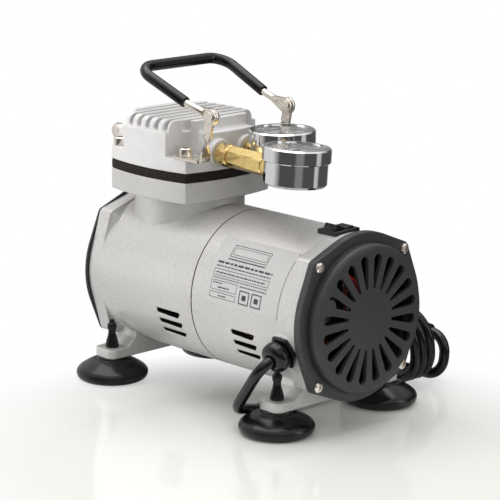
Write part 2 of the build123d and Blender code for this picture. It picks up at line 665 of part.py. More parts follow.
def cylinder_head():
    head = bulged_square(HEAD_HALF, HEAD_BULGE, HEAD_BOTTOM_Z, DECK_Z) + head_fins()
    for sx, sy in CORNERS:
        corner = (CYLINDER_X + sx * HEAD_HALF, sy * HEAD_HALF)
        head -= rod_z(POCKET_R, POCKET_FLOOR_Z, FIN_TOP_Z + 1, *corner)
    for side in (-1, 1):
        head += rod_x(PORT_BOSS_R, CYLINDER_X + 25, PORT_FACE_X, side * PORT_Y, PORT_Z)
        head += rod_x(6.5, CYLINDER_X - HEAD_HALF - 4.0, CYLINDER_X - 25, side * NIPPLE_Y, NIPPLE_Z)
    for side in (-1, 1):
        head -= chamber(side, HEAD_BOTTOM_Z - 1, CHAMBER_TOP_Z)
        head -= rod_x(NIPPLE_SHANK_R + FIT_GAP, CYLINDER_X - 50, CYLINDER_X - 20, side * NIPPLE_Y, NIPPLE_Z)
    for frame, distance in zip(GAUGE_FRAMES, PORT_DISTANCES):
        head -= frame * rod_x(THREAD_R + FIT_GAP, -distance - 20, -distance + 3)
    return without_head_screws(head, HEAD_BOTTOM_Z, POCKET_FLOOR_Z)


def socket_screw(length, hexagon_af=4.0):
    """Cap screw along Z with its head seated on Z = 0."""
    head = Pos(0, 0, 2.5) * Cylinder(4.25, 5.0)
    head = chamfer(head.edges().sort_by(Axis.Z)[-1], 0.5)
    head -= Pos(0, 0, 2.4) * hexagon(hexagon_af, 4)
    return head + Pos(0, 0, -length / 2) * Cylinder(HEAD_SCREW_R, length)


def head_screws():
    """Four screws; the two on the gauge side also hold the handle brackets."""
    screws = []
    for (x, y), (sx, _) in zip(HEAD_SCREWS, CORNERS):
        lift = BRACKET_THICKNESS if sx > 0 else 0.0
        screws.append(Pos(x, y, POCKET_FLOOR_Z + lift) * socket_screw(27.0))
    return screws


# ---- gauges --------------------------------------------------------------------------
def gauge_frame(centre, side, roll):
    """Plane at a gauge's centre: X points away from its port on the head, Z out of the dial."""
    port = Vector(PORT_FACE_X, side * PORT_Y, PORT_Z)
    along = (Vector(*centre) - port).normalized()
    up = (Vector(0, 0, 1) - along * along.Z).normalized()
    out = up * cos(radians(roll)) + up.cross(along) * sin(radians(roll))
    return Plane(Vector(*centre), x_dir=along, z_dir=out)


def port_distance(centre, side):
    return (Vector(*centre) - Vector(PORT_FACE_X, side * PORT_Y, PORT_Z)).length


GAUGE_SIDES = (-1, 1)
GAUGE_FRAMES = [gauge_frame(*values) for values in zip(GAUGE_CENTRES, GAUGE_SIDES, GAUGE_ROLLS)]
PORT_DISTANCES = [port_distance(centre, side) for centre, side in zip(GAUGE_CENTRES, GAUGE_SIDES)]
STEM_THREAD_START = -PORT_DISTANCES[1] + 1.5


def both_gauges(shape):
    return [frame * shape for frame in GAUGE_FRAMES]


def gauge_case():
    case = turned((0, GAUGE_BOTTOM), (GAUGE_R - 1.5, GAUGE_BOTTOM), (GAUGE_R, GAUGE_BOTTOM + 1.5),
                  (GAUGE_R, CASE_TOP), (GAUGE_R - 1.2, CASE_TOP), (GAUGE_R - 1.2, GAUGE_BOTTOM + 1.4),
                  (0, GAUGE_BOTTOM + 1.4))
    return case - rod_x(STEM_NECK_R + FIT_GAP, -GAUGE_R - 2, -10)


def gauge_bezel():
    bore, seat, lip = GAUGE_R + 0.1, BEZEL_R - 2.2, BEZEL_R - 3.4
    return turned((bore, CASE_TOP + 0.1), (bore, BEZEL_BOTTOM), (BEZEL_R - 0.5, BEZEL_BOTTOM),
                  (BEZEL_R, BEZEL_BOTTOM + 0.5), (BEZEL_R, GAUGE_TOP - 0.9), (BEZEL_R - 0.9, GAUGE_TOP),
                  (lip, GAUGE_TOP), (lip, GLASS_Z + GLASS_THICKNESS + 0.1),
                  (seat, GLASS_Z + GLASS_THICKNESS + 0.1), (seat, CASE_TOP + 0.1))


def gauge_stem():
    stem = rod_x(STEM_NECK_R, -24.0, -13.0) + block(-14.0, -8.0, -4.5, 4.5, -4.5, 4.5)
    hexagon_bar = hex_bar(12.0, STEM_THREAD_START, -20.8)
    thread = rod_x(THREAD_R, STEM_THREAD_START - 9.0, STEM_THREAD_START + 0.5)
    return stem + hexagon_bar + thread


def bourdon_tube():
    """Bent pressure tube that drives the pointer; it starts at the stem's block."""
    path = CenterArc((0, 0, 0), 12.0, 205, 250)
    start = path @ 0
    return sweep(Plane(start, z_dir=path % 0) * Ellipse(1.2, 2.6), path)


def gauge_needle():
    staff = rod_z(0.7, 4.7, POINTER_Z + 0.8)
    hub = rod_z(2.2, POINTER_Z, POINTER_Z + 1.0)
    pointer = make_face(Polyline((-5.0, -0.9), (13.0, -0.25), (13.0, 0.25), (-5.0, 0.9), close=True))
    return staff + hub + Pos(0, 0, POINTER_Z) * Rot(0, 0, NEEDLE_REST) * extrude(pointer, 0.6)


def gauge_adapter():
    """Brass extension between the head and the far gauge."""
    port_end = -PORT_DISTANCES[0]
    socket_end = STEM_THREAD_START - 0.1
    adapter = rod_x(THREAD_R, port_end - 9.0, port_end + 1)
    adapter += hex_bar(13.2, port_end + 0.9, port_end + 11.4)
    adapter += rod_x(5.8, port_end + 9, port_end + 15)
    adapter += hex_bar(12.6, port_end + 12.2, socket_end)
    return GAUGE_FRAMES[0] * (adapter - rod_x(THREAD_R + FIT_GAP, socket_end - 9.6, socket_end + 1))


def outlet_nipple(side):
    """Threaded hose nipple on the head's back face."""
    face_x = CYLINDER_X - HEAD_HALF - 4.0
    nipple = rod_x(NIPPLE_R, face_x - NIPPLE_LENGTH, face_x, side * NIPPLE_Y, NIPPLE_Z)
    nipple += rod_x(NIPPLE_SHANK_R, face_x, face_x + 8, side * NIPPLE_Y, NIPPLE_Z)
    return nipple - rod_x(2.4, face_x - NIPPLE_LENGTH - 1, face_x + 9, side * NIPPLE_Y, NIPPLE_Z)


# ---- handle --------------------------------------------------------------------------
def handle_bracket(side):
    """Strip with a flat foot, a bend, a quarter twist and an eye for the rivet."""
    screw_y = side * HEAD_SCREW_OFFSET[1]
    y = side * BRACKET_Y
    eye_y = side * BRACKET_Y
    screw_x = CYLINDER_X + HEAD_SCREW_OFFSET[0]
    floor, top = POCKET_FLOOR_Z, POCKET_FLOOR_Z + BRACKET_THICKNESS
    bend_x, bend_r = -105.0, 3.6
    half = BRACKET_WIDTH / 2
    strip = block(screw_x - 5.0, bend_x, y - half - 1, y + half + 1, floor, top)
    bend = rod_y(bend_r, y - half, y + half, bend_x, floor + bend_r)
    bend -= rod_y(bend_r - BRACKET_THICKNESS, y - half - 1, y + half + 1, bend_x, floor + bend_r)
    strip += bend & block(bend_x, bend_x + 10, y - 9, y + 9, floor - 1, floor + bend_r)
    wall_x = bend_x + bend_r - BRACKET_THICKNESS / 2
    strip += block(wall_x - BRACKET_THICKNESS / 2, wall_x + BRACKET_THICKNESS / 2,
                   y - half, y + half, floor + bend_r, 89.0)
    sections = []
    for k in range(5):
        t = k / 4
        spot = Pos(wall_x + (PIVOT_X - wall_x) * 0.45 * t, y + (eye_y - y) * t, 89.0 + 12.0 * t)
        sections.append(spot * Rot(0, 0, 90 * t) * Rectangle(BRACKET_THICKNESS, BRACKET_WIDTH))
    strip += loft(sections)
    lean = degrees(atan2(PIVOT_X - (wall_x + (PIVOT_X - wall_x) * 0.45), PIVOT_Z - 101.0))
    height = hypot(PIVOT_X - (wall_x + (PIVOT_X - wall_x) * 0.45), PIVOT_Z - 101.0)
    upper = Pos(0, 0, -height / 2) * Box(BRACKET_WIDTH, BRACKET_THICKNESS, height)
    strip += Pos(PIVOT_X, eye_y, PIVOT_Z) * Rot(0, lean, 0) * upper
    half_t = BRACKET_THICKNESS / 2
    strip += rod_y(5.2, eye_y - half_t, eye_y + half_t, PIVOT_X, PIVOT_Z)
    strip -= rod_y(RIVET_R + 0.02, eye_y - 5, eye_y + 5, PIVOT_X, PIVOT_Z)
    return strip - rod_z(HEAD_SCREW_R + 0.2, floor - 1, top + 1, screw_x, screw_y)


def handle_rivet(side):
    inner = side * (PIVOT_Y - EYE_THICKNESS / 2 - 0.1)
    outer = side * (BRACKET_Y + BRACKET_THICKNESS / 2 + 0.02)
    rivet = rod_y(RIVET_R, inner, outer, PIVOT_X, PIVOT_Z)
    rivet += rod_y(3.6, inner - side * 1.3, inner, PIVOT_X, PIVOT_Z)
    return rivet + rod_y(3.6, outer, outer + side * 1.3, PIVOT_X, PIVOT_Z)


def arm_point(start, end, distance):
    step = (Vector(*end) - Vector(*start)).normalized()
    point = Vector(*start) + step * distance
    return (point.X, point.Y, point.Z)


def mirrored(point):
    return (point[0], -point[1], point[2])


def swept_round(points, radius, bend_r):
    path = FilletPolyline(*points, radius=bend_r)
    return sweep(Plane(path @ 0, z_dir=path % 0) * Circle(radius), path)


def handle_rod():
    pivot = (PIVOT_X, PIVOT_Y, PIVOT_Z)
    start = arm_point(pivot, HANDLE_KNEE, 7.6)
    side = [start, HANDLE_KNEE, HANDLE_CORNER]
    rod = swept_round(side + [mirrored(p) for p in reversed(side)], HANDLE_ROD_R, HANDLE_BEND_R)
    lean = degrees(atan2(HANDLE_KNEE[2] - PIVOT_Z, PIVOT_X - HANDLE_KNEE[0]))
    for end in (-1, 1):
        y0, y1 = end * PIVOT_Y - EYE_THICKNESS / 2, end * PIVOT_Y + EYE_THICKNESS / 2
        tang = extrude(linked_circles(EYE_R, HANDLE_ROD_R, TANG_LENGTH), EYE_THICKNESS / 2, both=True)
        rod += Pos(PIVOT_X, end * PIVOT_Y, PIVOT_Z) * Rot(0, 180 + lean, 0) * (Plane.XZ * tang)
        rod -= rod_y(RIVET_R + RUNNING_GAP, y0 - 3, y1 + 3, PIVOT_X, PIVOT_Z)
    return rod


def handle_grip():
    start = arm_point(HANDLE_KNEE, HANDLE_CORNER, 2.0)
    points = [start, HANDLE_CORNER, mirrored(HANDLE_CORNER), mirrored(start)]
    return swept_round(points, GRIP_R, HANDLE_BEND_R) - swept_round(points, HANDLE_ROD_R + 0.05, HANDLE_BEND_R)


# ---- switch --------------------------------------------------------------------------
def switch_body():
    top = SWITCH_FLAT_Z + SWITCH_BEZEL[2]
    body = Pos(SWITCH_X, 0, top - SWITCH_BEZEL[2] / 2 + 0.01) * Box(*SWITCH_BEZEL)
    body = fillet(body.edges().group_by(Axis.Z)[-1], 0.7)
    body += Pos(SWITCH_X, 0, top - SWITCH_BODY[2] / 2 - 0.5) * Box(*SWITCH_BODY)
    body -= Pos(SWITCH_X, 0, top - 6.0) * Box(ROCKER_WIDTH + 0.5, 2 * ROCKER_END_R + 0.3, 15.0)
    return body - rod_x(ROCKER_PIN_R + FIT_GAP, SWITCH_X - 6.1, SWITCH_X + 6.1, 0, ROCKER_AXIS_Z)


def switch_rocker():
    """Two-sided rocker on its own pin, pressed down on the far side."""
    side, low, crest, rise = 9.2, -3.0, 3.4, 2.4
    outline = Polyline((-side, 0), (-side, crest + rise), (0, crest), (side, crest + rise),
                       (side, 0), (2.5, low), (-2.5, low), close=True)
    plane = Plane((0, 0, 0), x_dir=(0, 1, 0), z_dir=(1, 0, 0))
    rocker = plane * extrude(make_face(outline), ROCKER_WIDTH / 2, both=True)
    rocker &= rod_x(ROCKER_END_R, -10, 10)
    rocker += rod_x(ROCKER_PIN_R, -5.9, 5.9)
    return Pos(SWITCH_X, 0, ROCKER_AXIS_Z) * Rot(-ROCKER_TILT, 0, 0) * rocker


def switch_terminals():
    z1 = SWITCH_FLAT_Z + SWITCH_BEZEL[2] - SWITCH_BODY[2] - 0.5
    return [block(SWITCH_X - 2.4, SWITCH_X + 2.4, y - 0.4, y + 0.4, z1 - 7.0, z1 - 0.02) for y in (-7, 0, 7)]


# ---- wiring --------------------------------------------------------------------------
def wire(points, radius):
    path = Spline(*points)
    return sweep(Plane(path @ 0, z_dir=path % 0) * Circle(radius), path)


def lead(x, radius, angle0, angle1, count=9):
    """Wire laid round the inside of the switch compartment."""
    points = []
    for k in range(count):
        angle = radians(angle0 + (angle1 - angle0) * k / (count - 1))
        points.append((x + 1.2 * sin(3 * angle), radius * cos(angle), radius * sin(angle)))
    return wire(points, 1.15)


def motor_leads_red():
    return [lead(-27.0, 25.5, 100, 285), lead(-24.0, 23.0, 20, 160)]


def motor_leads_black():
    return lead(-22.5, 30.0, 122, 250)


def earth_lead():
    return lead(-19.0, 26.5, 120, 205)


def hank_corner(turn, corner):
    """Corner of one turn of the hank: 0 low right, 1 top right, 2 top left, 3 low left."""
    cx, cy, cz = HANK_CENTRE
    x = cx + HANK_HALF_LENGTH * (1 if corner in (0, 1) else -1)
    z = cz + HANK_HALF_HEIGHT * (1 if corner in (1, 2) else -1)
    y = cy + HANK_PITCH * (turn + corner / 4 - HANK_TURNS / 2)
    return (x, y - HANK_LEAN * (z - cz), z)


def cord_path():
    """Centre line of the cord: out of the gland, behind the foot, under the body, into the hank."""
    frame = gland_frame()
    ground = -AXIS_HEIGHT + CORD_R + 0.2
    inside, outside = [frame.from_local_coords((0, 0, z)) for z in (-9.0, 20.8)]
    first = hank_corner(0, 0)
    points = [(inside.X, inside.Y, inside.Z), (outside.X, outside.Y, outside.Z)]
    points += [(-43.5, -62.0, -54.5), (-58.0, -30.0, ground), (HANK_CENTRE[0] - 3.0, first[1], first[2])]
    radii = [10.0, 14.0, 20.0, 12.0]
    for turn in range(HANK_TURNS):
        points += [hank_corner(turn, corner) for corner in range(4)]
        radii += [HANK_BEND_R] * 4
    x_end = HANK_CENTRE[0] + HANK_HALF_LENGTH
    points += [(x_end, PLUG_Y - 3.0, first[2]), (x_end, PLUG_Y, PLUG_Z), (x_end - 18.0, PLUG_Y, PLUG_Z)]
    radii += [12.0, 12.0]
    return FilletPolyline(*points, radius=radii)


def power_cord():
    path = cord_path()
    return sweep(Plane(path @ 0, z_dir=path % 0) * Circle(CORD_R), path)


def plug_frame():
    path = cord_path()
    return Plane(path @ 1, z_dir=path % 1)


def power_plug():
    """Round two-pin plug moulded on the cord's end."""
    body = turned((CORD_R + 0.05, -4.0), (5.2, -4.0), (6.6, 10.0), (PLUG_R - 1.0, 17.0),
                  (PLUG_R, 20.0), (PLUG_R, 33.0), (PLUG_R - 0.8, 34.0), (0, 34.0), (0, 0.05),
                  (CORD_R + 0.05, 0.05))
    for side in (-1, 1):
        body -= Pos(side * 6.0, 0, 31.0) * Cylinder(1.92, 8.0)
    return plug_frame() * body


def plug_pins():
    pin = fillet((Pos(0, 0, 10.0) * Cylinder(1.9, 20.0)).edges().group_by(Axis.Z)[-1], 0.9)
    return [plug_frame() * Pos(side * 6.0, 0, 27.2) * pin for side in (-1, 1)]


def cord_tie():
    """Band round the strands that lie along the top of the hank."""
    low, high = hank_corner(0, 1), hank_corner(HANK_TURNS - 1, 2)
    y0, y1 = low[1] - CORD_R - 0.4, high[1] + CORD_R + 0.4
    half = CORD_R + 0.4
    loop = Box(4.0, y1 - y0 + 2.0, 2 * half + 2.0) - Box(5.0, y1 - y0, 2 * half)
    return Pos(HANK_CENTRE[0], (y0 + y1) / 2, low[2]) * loop


def cable_gland():
    """Body through the wall, domed clamping nut outside and lock nut inside."""
    body = Pos(0, 0, -4.2) * Cylinder(7.5, 9.4) + Pos(0, 0, 0.25) * hexagon(19.0, 4.0)
    body += Pos(0, 0, 5.0) * Cylinder(6.0, 4.0)
    body -= Cylinder(CORD_R + 0.1, 30)
    dome = turned((6.1, 4.4), (9.0, 4.4), (9.4, 6.0), (8.8, 9.6), (6.4, 12.0), (CORD_R + 0.15, 12.0),
                  (CORD_R + 0.15, 7.2), (6.1, 7.2))
    nut = Pos(0, 0, -8.7) * (hexagon(18.0, 2.8) - Cylinder(7.55, 10))
    return [gland_frame() * piece for piece in (body, dome, nut)]


# ---- rating plate --------------------------------------------------------------------
def rating_plate():
    """Thin sheet that follows the barrel above the front foot."""
    sheet = tube_x(BARREL_R + 0.35, BARREL_R + 0.03, *PLATE_X)
    rim = [(-80 * cos(radians(angle)), 80 * sin(radians(angle))) for angle in PLATE_ANGLES]
    sector = make_face(Polyline((0, 0), *rim, close=True))
    plane = Plane((-100, 0, 0), x_dir=(0, 1, 0), z_dir=(1, 0, 0))
    return sheet & (plane * extrude(sector, 100))


# ---- write every piece ---------------------------------------------------------------
save("front_housing", front_housing())
save("rear_housing", rear_housing())
save("front_cover", FRONT_PLANE * end_cover())
save("rear_cover", REAR_PLANE * pump_cover())
save("cover_screws", *cover_screws(FRONT_PLANE, COVER_RIM_THICKNESS),
     *cover_screws(REAR_PLANE, PUMP_COVER_THICKNESS))
save("suction_feet", *suction_feet())
save("stator_core", stator_core())
save("stator_windings", stator_windings())
save("housing_tie_bolts", *tie_bolts())
save("rotor_core", rotor_core())
save("motor_shaft", motor_shaft())

motor_races = [bearing_races(SHAFT_R + 0.02, MOTOR_BEARING_R, MOTOR_BEARING_WIDTH, MOTOR_BALL_R,
                             MOTOR_BALL_CIRCLE_R, x) for x in MOTOR_BEARINGS_X]
save("motor_bearing_outer_rings", *[outer for outer, inner in motor_races])
save("motor_bearing_inner_rings", *[inner for outer, inner in motor_races])
save("motor_bearing_balls", *[ball for x in MOTOR_BEARINGS_X
                              for ball in bearing_balls(7, MOTOR_BALL_R, MOTOR_BALL_CIRCLE_R, x)])
crank_outer, crank_inner = bearing_races(CRANK_BEARING_R[0], CRANK_BEARING_R[1], CRANK_BEARING_WIDTH,
                                         CRANK_BALL_R, CRANK_BALL_CIRCLE_R, CYLINDER_X, THROW)
save("crank_bearing_outer_ring", crank_outer)
save("crank_bearing_inner_ring", crank_inner)
save("crank_bearing_balls", *bearing_balls(9, CRANK_BALL_R, CRANK_BALL_CIRCLE_R, CYLINDER_X, THROW))
save("cooling_fan", cooling_fan())
save("crank_eccentric", crank_eccentric())
save("eccentric_set_screw", rod_z(SET_SCREW_R, -13.0, -CRANK_SHAFT_R - 0.02, SET_SCREW_X))
save("connecting_rod", connecting_rod())
save("wrist_pin", rod_x(3.5, CYLINDER_X - 5.5, CYLINDER_X + 5.5, 0, SMALL_END_Z))
save("piston", piston())
save("piston_ring", piston_ring())
save("cylinder_sleeve", cylinder_sleeve())
save("lower_gasket", lower_gasket())
save("valve_plate", valve_plate())
save("suction_reed", reed(1, FLANGE_TOP_Z + LOWER_GASKET - 0.31))
save("discharge_reed", reed(-1, VALVE_PLATE_TOP_Z + 0.01))
save("discharge_reed_stop", reed_stop())
save("reed_rivets", *reed_rivets())
save("head_gasket", head_gasket())
save("cylinder_head", cylinder_head())
save("head_screws", *head_screws())
save("gauge_cases", *both_gauges(gauge_case()))
save("gauge_bezels", *both_gauges(gauge_bezel()))
save("gauge_glasses", *both_gauges(rod_z(BEZEL_R - 2.4, GLASS_Z, GLASS_Z + GLASS_THICKNESS)))
save("gauge_dials", *both_gauges(tube_z(GAUGE_R - 1.3, 0.8, DIAL_Z, DIAL_Z + DIAL_THICKNESS)))
save("gauge_stems", *both_gauges(gauge_stem()))
save("gauge_bourdon_tubes", *both_gauges(bourdon_tube()))
save("vacuum_gauge_needle", GAUGE_FRAMES[0] * gauge_needle())
save("pressure_gauge_needle", GAUGE_FRAMES[1] * gauge_needle())
save("gauge_adapter", gauge_adapter())
save("hose_nipples", outlet_nipple(-1), outlet_nipple(1))
save("handle_brackets", handle_bracket(-1), handle_bracket(1))
save("handle_rivets", handle_rivet(-1), handle_rivet(1))
save("handle_rod", handle_rod())
save("handle_grip", handle_grip())
save("switch_body", switch_body())
save("switch_rocker", switch_rocker())
save("switch_terminals", *switch_terminals())
save("motor_leads_red", *motor_leads_red())
save("motor_leads_black", motor_leads_black())
save("earth_lead", earth_lead())
save("cable_gland", *cable_gland())
save("power_cord", power_cord())
save("cord_tie", cord_tie())
save("power_plug", power_plug())
save("plug_pins", *plug_pins())
save("rating_plate", rating_plate())
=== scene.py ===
"""Looks of the airbrush compressor: finishes, cast and moulded detail, print, studio and camera.

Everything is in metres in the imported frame: X along the motor shaft towards the switch end, Z up.
Places come from the frame's joints and boxes; MM turns the detail sizes, given in millimetres,
into metres.
"""

import json
from math import cos, pi, radians, sin

import bmesh
import bpy
from mathutils import Matrix, Vector


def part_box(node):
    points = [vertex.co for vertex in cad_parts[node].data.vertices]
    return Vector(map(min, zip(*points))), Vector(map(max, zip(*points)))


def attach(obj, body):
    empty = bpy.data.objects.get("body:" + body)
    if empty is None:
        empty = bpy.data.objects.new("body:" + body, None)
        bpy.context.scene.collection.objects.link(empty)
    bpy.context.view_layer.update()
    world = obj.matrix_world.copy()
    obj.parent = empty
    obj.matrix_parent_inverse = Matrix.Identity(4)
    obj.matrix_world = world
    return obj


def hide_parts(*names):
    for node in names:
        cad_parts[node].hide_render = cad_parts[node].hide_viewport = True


MM = 0.001
UP = Vector((0, 0, 1))

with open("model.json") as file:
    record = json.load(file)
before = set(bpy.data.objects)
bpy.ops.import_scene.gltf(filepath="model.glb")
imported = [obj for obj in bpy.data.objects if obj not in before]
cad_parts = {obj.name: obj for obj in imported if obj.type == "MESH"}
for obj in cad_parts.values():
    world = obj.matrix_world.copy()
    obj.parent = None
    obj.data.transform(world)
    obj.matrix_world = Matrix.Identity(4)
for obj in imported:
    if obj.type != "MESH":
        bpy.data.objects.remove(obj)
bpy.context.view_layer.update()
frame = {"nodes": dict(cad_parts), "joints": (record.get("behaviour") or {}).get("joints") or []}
NODES = frame["nodes"]
JOINTS = {joint["name"]: joint for joint in frame["joints"]}

# ---- driving dimensions ----------------------------------------------------------------
SHAFT = Vector(JOINTS["shaft_spin"]["pos_m"])
BARREL_R = 50.0
SEAM_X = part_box("rear_housing")[1].x
PLATE_R = 50.35                 # outer face of the rating plate, from the shaft
PLATE_TOP_ANGLE = 53.0          # its upper edge above the horizontal, in degrees
INK = 0.05                      # how far print stands above its ground
LINE = 0.32                     # printed line
WINDING_R = (28.2, 38.6)        # end turns, from bore to rim
WINDING_CORNER = 3.0
STRAND_R = 0.6
LACE_R = 0.55
LACES = 20                      # loops of lacing round each end turn
GLAND_ANGLE = radians(18.7)     # below the horizontal
DIAL_HEIGHT = 10.6              # printed face above the gauge's centre
DIAL_SWEEP = 270.0              # degrees from zero to full scale
DIAL_ZERO = 135.0               # zero's bearing on the dial, in degrees
DIAL_MINOR = 5                  # short steps between two numbers
TICK_R = 16.2                   # outer end of the ticks
NUMERAL_R = 11.2
NUMERAL_SIZE = 2.9
NUMERAL_HALF = 0.02             # half the thickness of a printed number
CASTING_VOXEL = 0.48 * MM
HEAD_VOXEL = 0.42 * MM
CAD_WELD = 0.002 * MM           # carried-over vertices closer than this are one
TURNED_WELD = 0.001 * MM        # the same for turned pieces
ROOM_DARK = 0.08
CEILING = 1.0                   # brightness of the room overhead
CEILING_RISE = (0.35, 0.70)     # sine of the elevation where it begins and is full
ROOM_BANDS = (                  # degrees from the camera's side, half width, brightness
    (-118, 60, 0.66), (10, 17, 0.15), (78, 12, 0.50), (168, 18, 0.22))
BAND_CORE = 0.55                # share of a band at full brightness
FLOOR_CENTRE = (0.12, -0.115, 0.0)
FLOOR_FADE = (0.14, 0.24)       # distance where the table begins to fade, and is gone
FLOOR_HALF = 6.0
LIGHT_AIM = Vector((0, 0, 0.08))
CAMERA_PLACE = (0.94399, -0.92504, 0.40788)
CAMERA_SIGHT = (-0.7033, 0.6708, -0.2351)
CAMERA_ROLL = radians(0.38)
CAMERA_LENS = 153.6
SENSOR = 36.0


# ---- materials -------------------------------------------------------------------------
class Nodes:
    """Short calls for building a node tree. A value may be a number or another node's output."""

    def __init__(self, tree):
        self.tree = tree

    def add(self, kind, **settings):
        node = self.tree.nodes.new("ShaderNode" + kind)
        for key, value in settings.items():
            setattr(node, key, value)
        return node

    def link(self, value, socket):
        if isinstance(value, (int, float)):
            socket.default_value = value
        else:
            self.tree.links.new(value, socket)

    def math(self, operation, a, b=0.0):
        node = self.add("Math", operation=operation)
        self.link(a, node.inputs[0])
        self.link(b, node.inputs[1])
        return node.outputs[0]

    def dot(self, vector, direction):
        node = self.add("VectorMath", operation="DOT_PRODUCT")
        self.link(vector, node.inputs[0])
        node.inputs[1].default_value = tuple(direction)
        return node.outputs["Value"]

    def spread(self, value, low, high, to_low=0.0, to_high=1.0):
        """Map a value from low..high to to_low..to_high, clamped."""
        node = self.add("MapRange")
        for socket, number in zip(node.inputs[1:5], (low, high, to_low, to_high)):
            socket.default_value = number
        self.link(value, node.inputs[0])
        return node.outputs[0]

    def blend(self, mask, a, b):
        """a where the mask is 0 and b where it is 1."""
        node = self.add("Mix")
        self.link(mask, node.inputs[0])
        self.link(a, node.inputs[2])
        self.link(b, node.inputs[3])
        return node.outputs[0]


class Look(Nodes):
    """A node material around one Principled shader. Pattern sizes are in millimetres."""

    def __init__(self, name, colour, roughness, metallic=0.0, coat=0.0, specular=0.5):
        self.material = bpy.data.materials.new(name)
        self.material.use_nodes = True
        super().__init__(self.material.node_tree)
        self.shader = self.tree.nodes["Principled BSDF"]
        self.place = self.add("TexCoord").outputs["Object"]
        self.shader.inputs["Roughness"].default_value = roughness
        self.shader.inputs["Metallic"].default_value = metallic
        self.shader.inputs["Coat Weight"].default_value = coat
        self.shader.inputs["Coat Roughness"].default_value = 0.06
        self.shader.inputs["Specular IOR Level"].default_value = specular
        self.colour = self.add("RGB").outputs[0]
        self.colour.default_value = (*colour, 1.0)
        self.normal = None
        self.link(self.colour, self.shader.inputs["Base Color"])
        LOOKS[name] = self

    def stretched(self, stretch):
        """Object coordinates divided along each axis, for grain that runs one way."""
        mapping = self.add("Mapping")
        mapping.inputs["Scale"].default_value = tuple(1.0 / s for s in stretch)
        self.link(self.place, mapping.inputs["Vector"])
        return mapping.outputs[0]

    def noise(self, size, detail=2.0, stretch=None):
        node = self.add("TexNoise")
        node.inputs["Scale"].default_value = 1.0 / (size * MM)
        node.inputs["Detail"].default_value = detail
        self.link(self.stretched(stretch) if stretch else self.place, node.inputs["Vector"])
        return node.outputs["Fac"]

    def cells(self, size, feature="F1"):
        node = self.add("TexVoronoi", feature=feature)
        node.inputs["Scale"].default_value = 1.0 / (size * MM)
        self.link(self.place, node.inputs["Vector"])
        return node.outputs["Distance"]

    def along(self, axis):
        """One object coordinate, in metres."""
        node = self.add("SeparateXYZ")
        self.link(self.place, node.inputs[0])
        return node.outputs[axis]

    def from_shaft(self):
        """Distance from the shaft's axis, in metres."""
        across = self.math("SUBTRACT", self.along("Y"), SHAFT.y)
        above = self.math("SUBTRACT", self.along("Z"), SHAFT.z)
        squares = self.math("ADD", self.math("POWER", across, 2.0), self.math("POWER", above, 2.0))
        return self.math("SQRT", squares)

    def tint(self, mask, colour):
        """Blend the base colour towards another one where the mask is high."""
        node = self.add("Mix", data_type="RGBA")
        self.link(mask, node.inputs[0])
        self.link(self.colour, node.inputs[6])
        node.inputs[7].default_value = (*colour, 1.0)
        self.colour = node.outputs[2]
        self.link(self.colour, self.shader.inputs["Base Color"])
        return self

    def rough(self, value):
        self.link(value, self.shader.inputs["Roughness"])
        return self

    def bump(self, height, depth):
        """Raise the surface by up to depth millimetres where height is high."""
        node = self.add("Bump")
        node.inputs["Strength"].default_value = 1.0
        node.inputs["Distance"].default_value = depth * MM
        self.link(height, node.inputs["Height"])
        if self.normal:
            self.link(self.normal, node.inputs["Normal"])
        self.normal = node.outputs[0]
        self.link(self.normal, self.shader.inputs["Normal"])
        return self

    def edges(self, radius):
        """Mask that is 1 on sharp edges, where the softened normal leaves the true one, else 0."""
        soft = self.add("Bevel", samples=4)
        soft.inputs["Radius"].default_value = radius * MM
        hard = self.add("NewGeometry").outputs["Normal"]
        dot = self.add("VectorMath", operation="DOT_PRODUCT")
        self.link(soft.outputs[0], dot.inputs[0])
        self.link(hard, dot.inputs[1])
        return self.spread(dot.outputs["Value"], 0.97, 0.80)


LOOKS = {}


def make_housing_paint():
    """Silver paint with a metal fleck on the casting's skin, and painted shade, near black, inside the
    barrel.
    """
    look = Look("housing_paint", (0.50, 0.492, 0.482), 0.42, metallic=0.5, specular=0.4)
    look.tint(look.spread(look.noise(45, 3), 0.35, 0.7, 0.0, 0.35), (0.43, 0.423, 0.415))
    look.tint(look.spread(look.cells(0.6), 0.0, 0.45, 0.45, 0.0), (0.74, 0.73, 0.72))
    look.tint(look.spread(look.noise(1.6, 2), 0.52, 0.75, 0.0, 0.45), (0.34, 0.335, 0.327))
    # Painted shade: near black on the surfaces inside the barrel's skin, standing in for the dark seen
    # through the slots.
    skin, inside = (BARREL_R - 0.25) * MM, (BARREL_R - 0.8) * MM
    look.tint(look.spread(look.from_shaft(), skin, inside), (0.010, 0.009, 0.009))
    look.rough(look.spread(look.noise(9, 3), 0.3, 0.7, 0.36, 0.48))
    look.bump(look.noise(1.5, 1.5), 0.09)
    look.bump(look.noise(0.5, 2), 0.03)


def make_head_casting():
    """Bare grained casting, with a painted highlight that lightens it along its sharp edges."""
    look = Look("head_casting", (0.62, 0.612, 0.608), 0.46, metallic=0.4)
    look.tint(look.spread(look.noise(14, 4), 0.35, 0.7, 0.0, 0.5), (0.54, 0.534, 0.53))
    look.tint(look.spread(look.cells(0.7), 0.0, 0.4, 0.55, 0.0), (0.88, 0.88, 0.88))
    # Painted highlight: lighter along the sharp edges.
    look.tint(look.edges(0.9), (0.92, 0.92, 0.92))
    look.rough(look.spread(look.noise(1.2, 3), 0.3, 0.7, 0.4, 0.6))
    look.bump(look.noise(0.9, 3), 0.11)


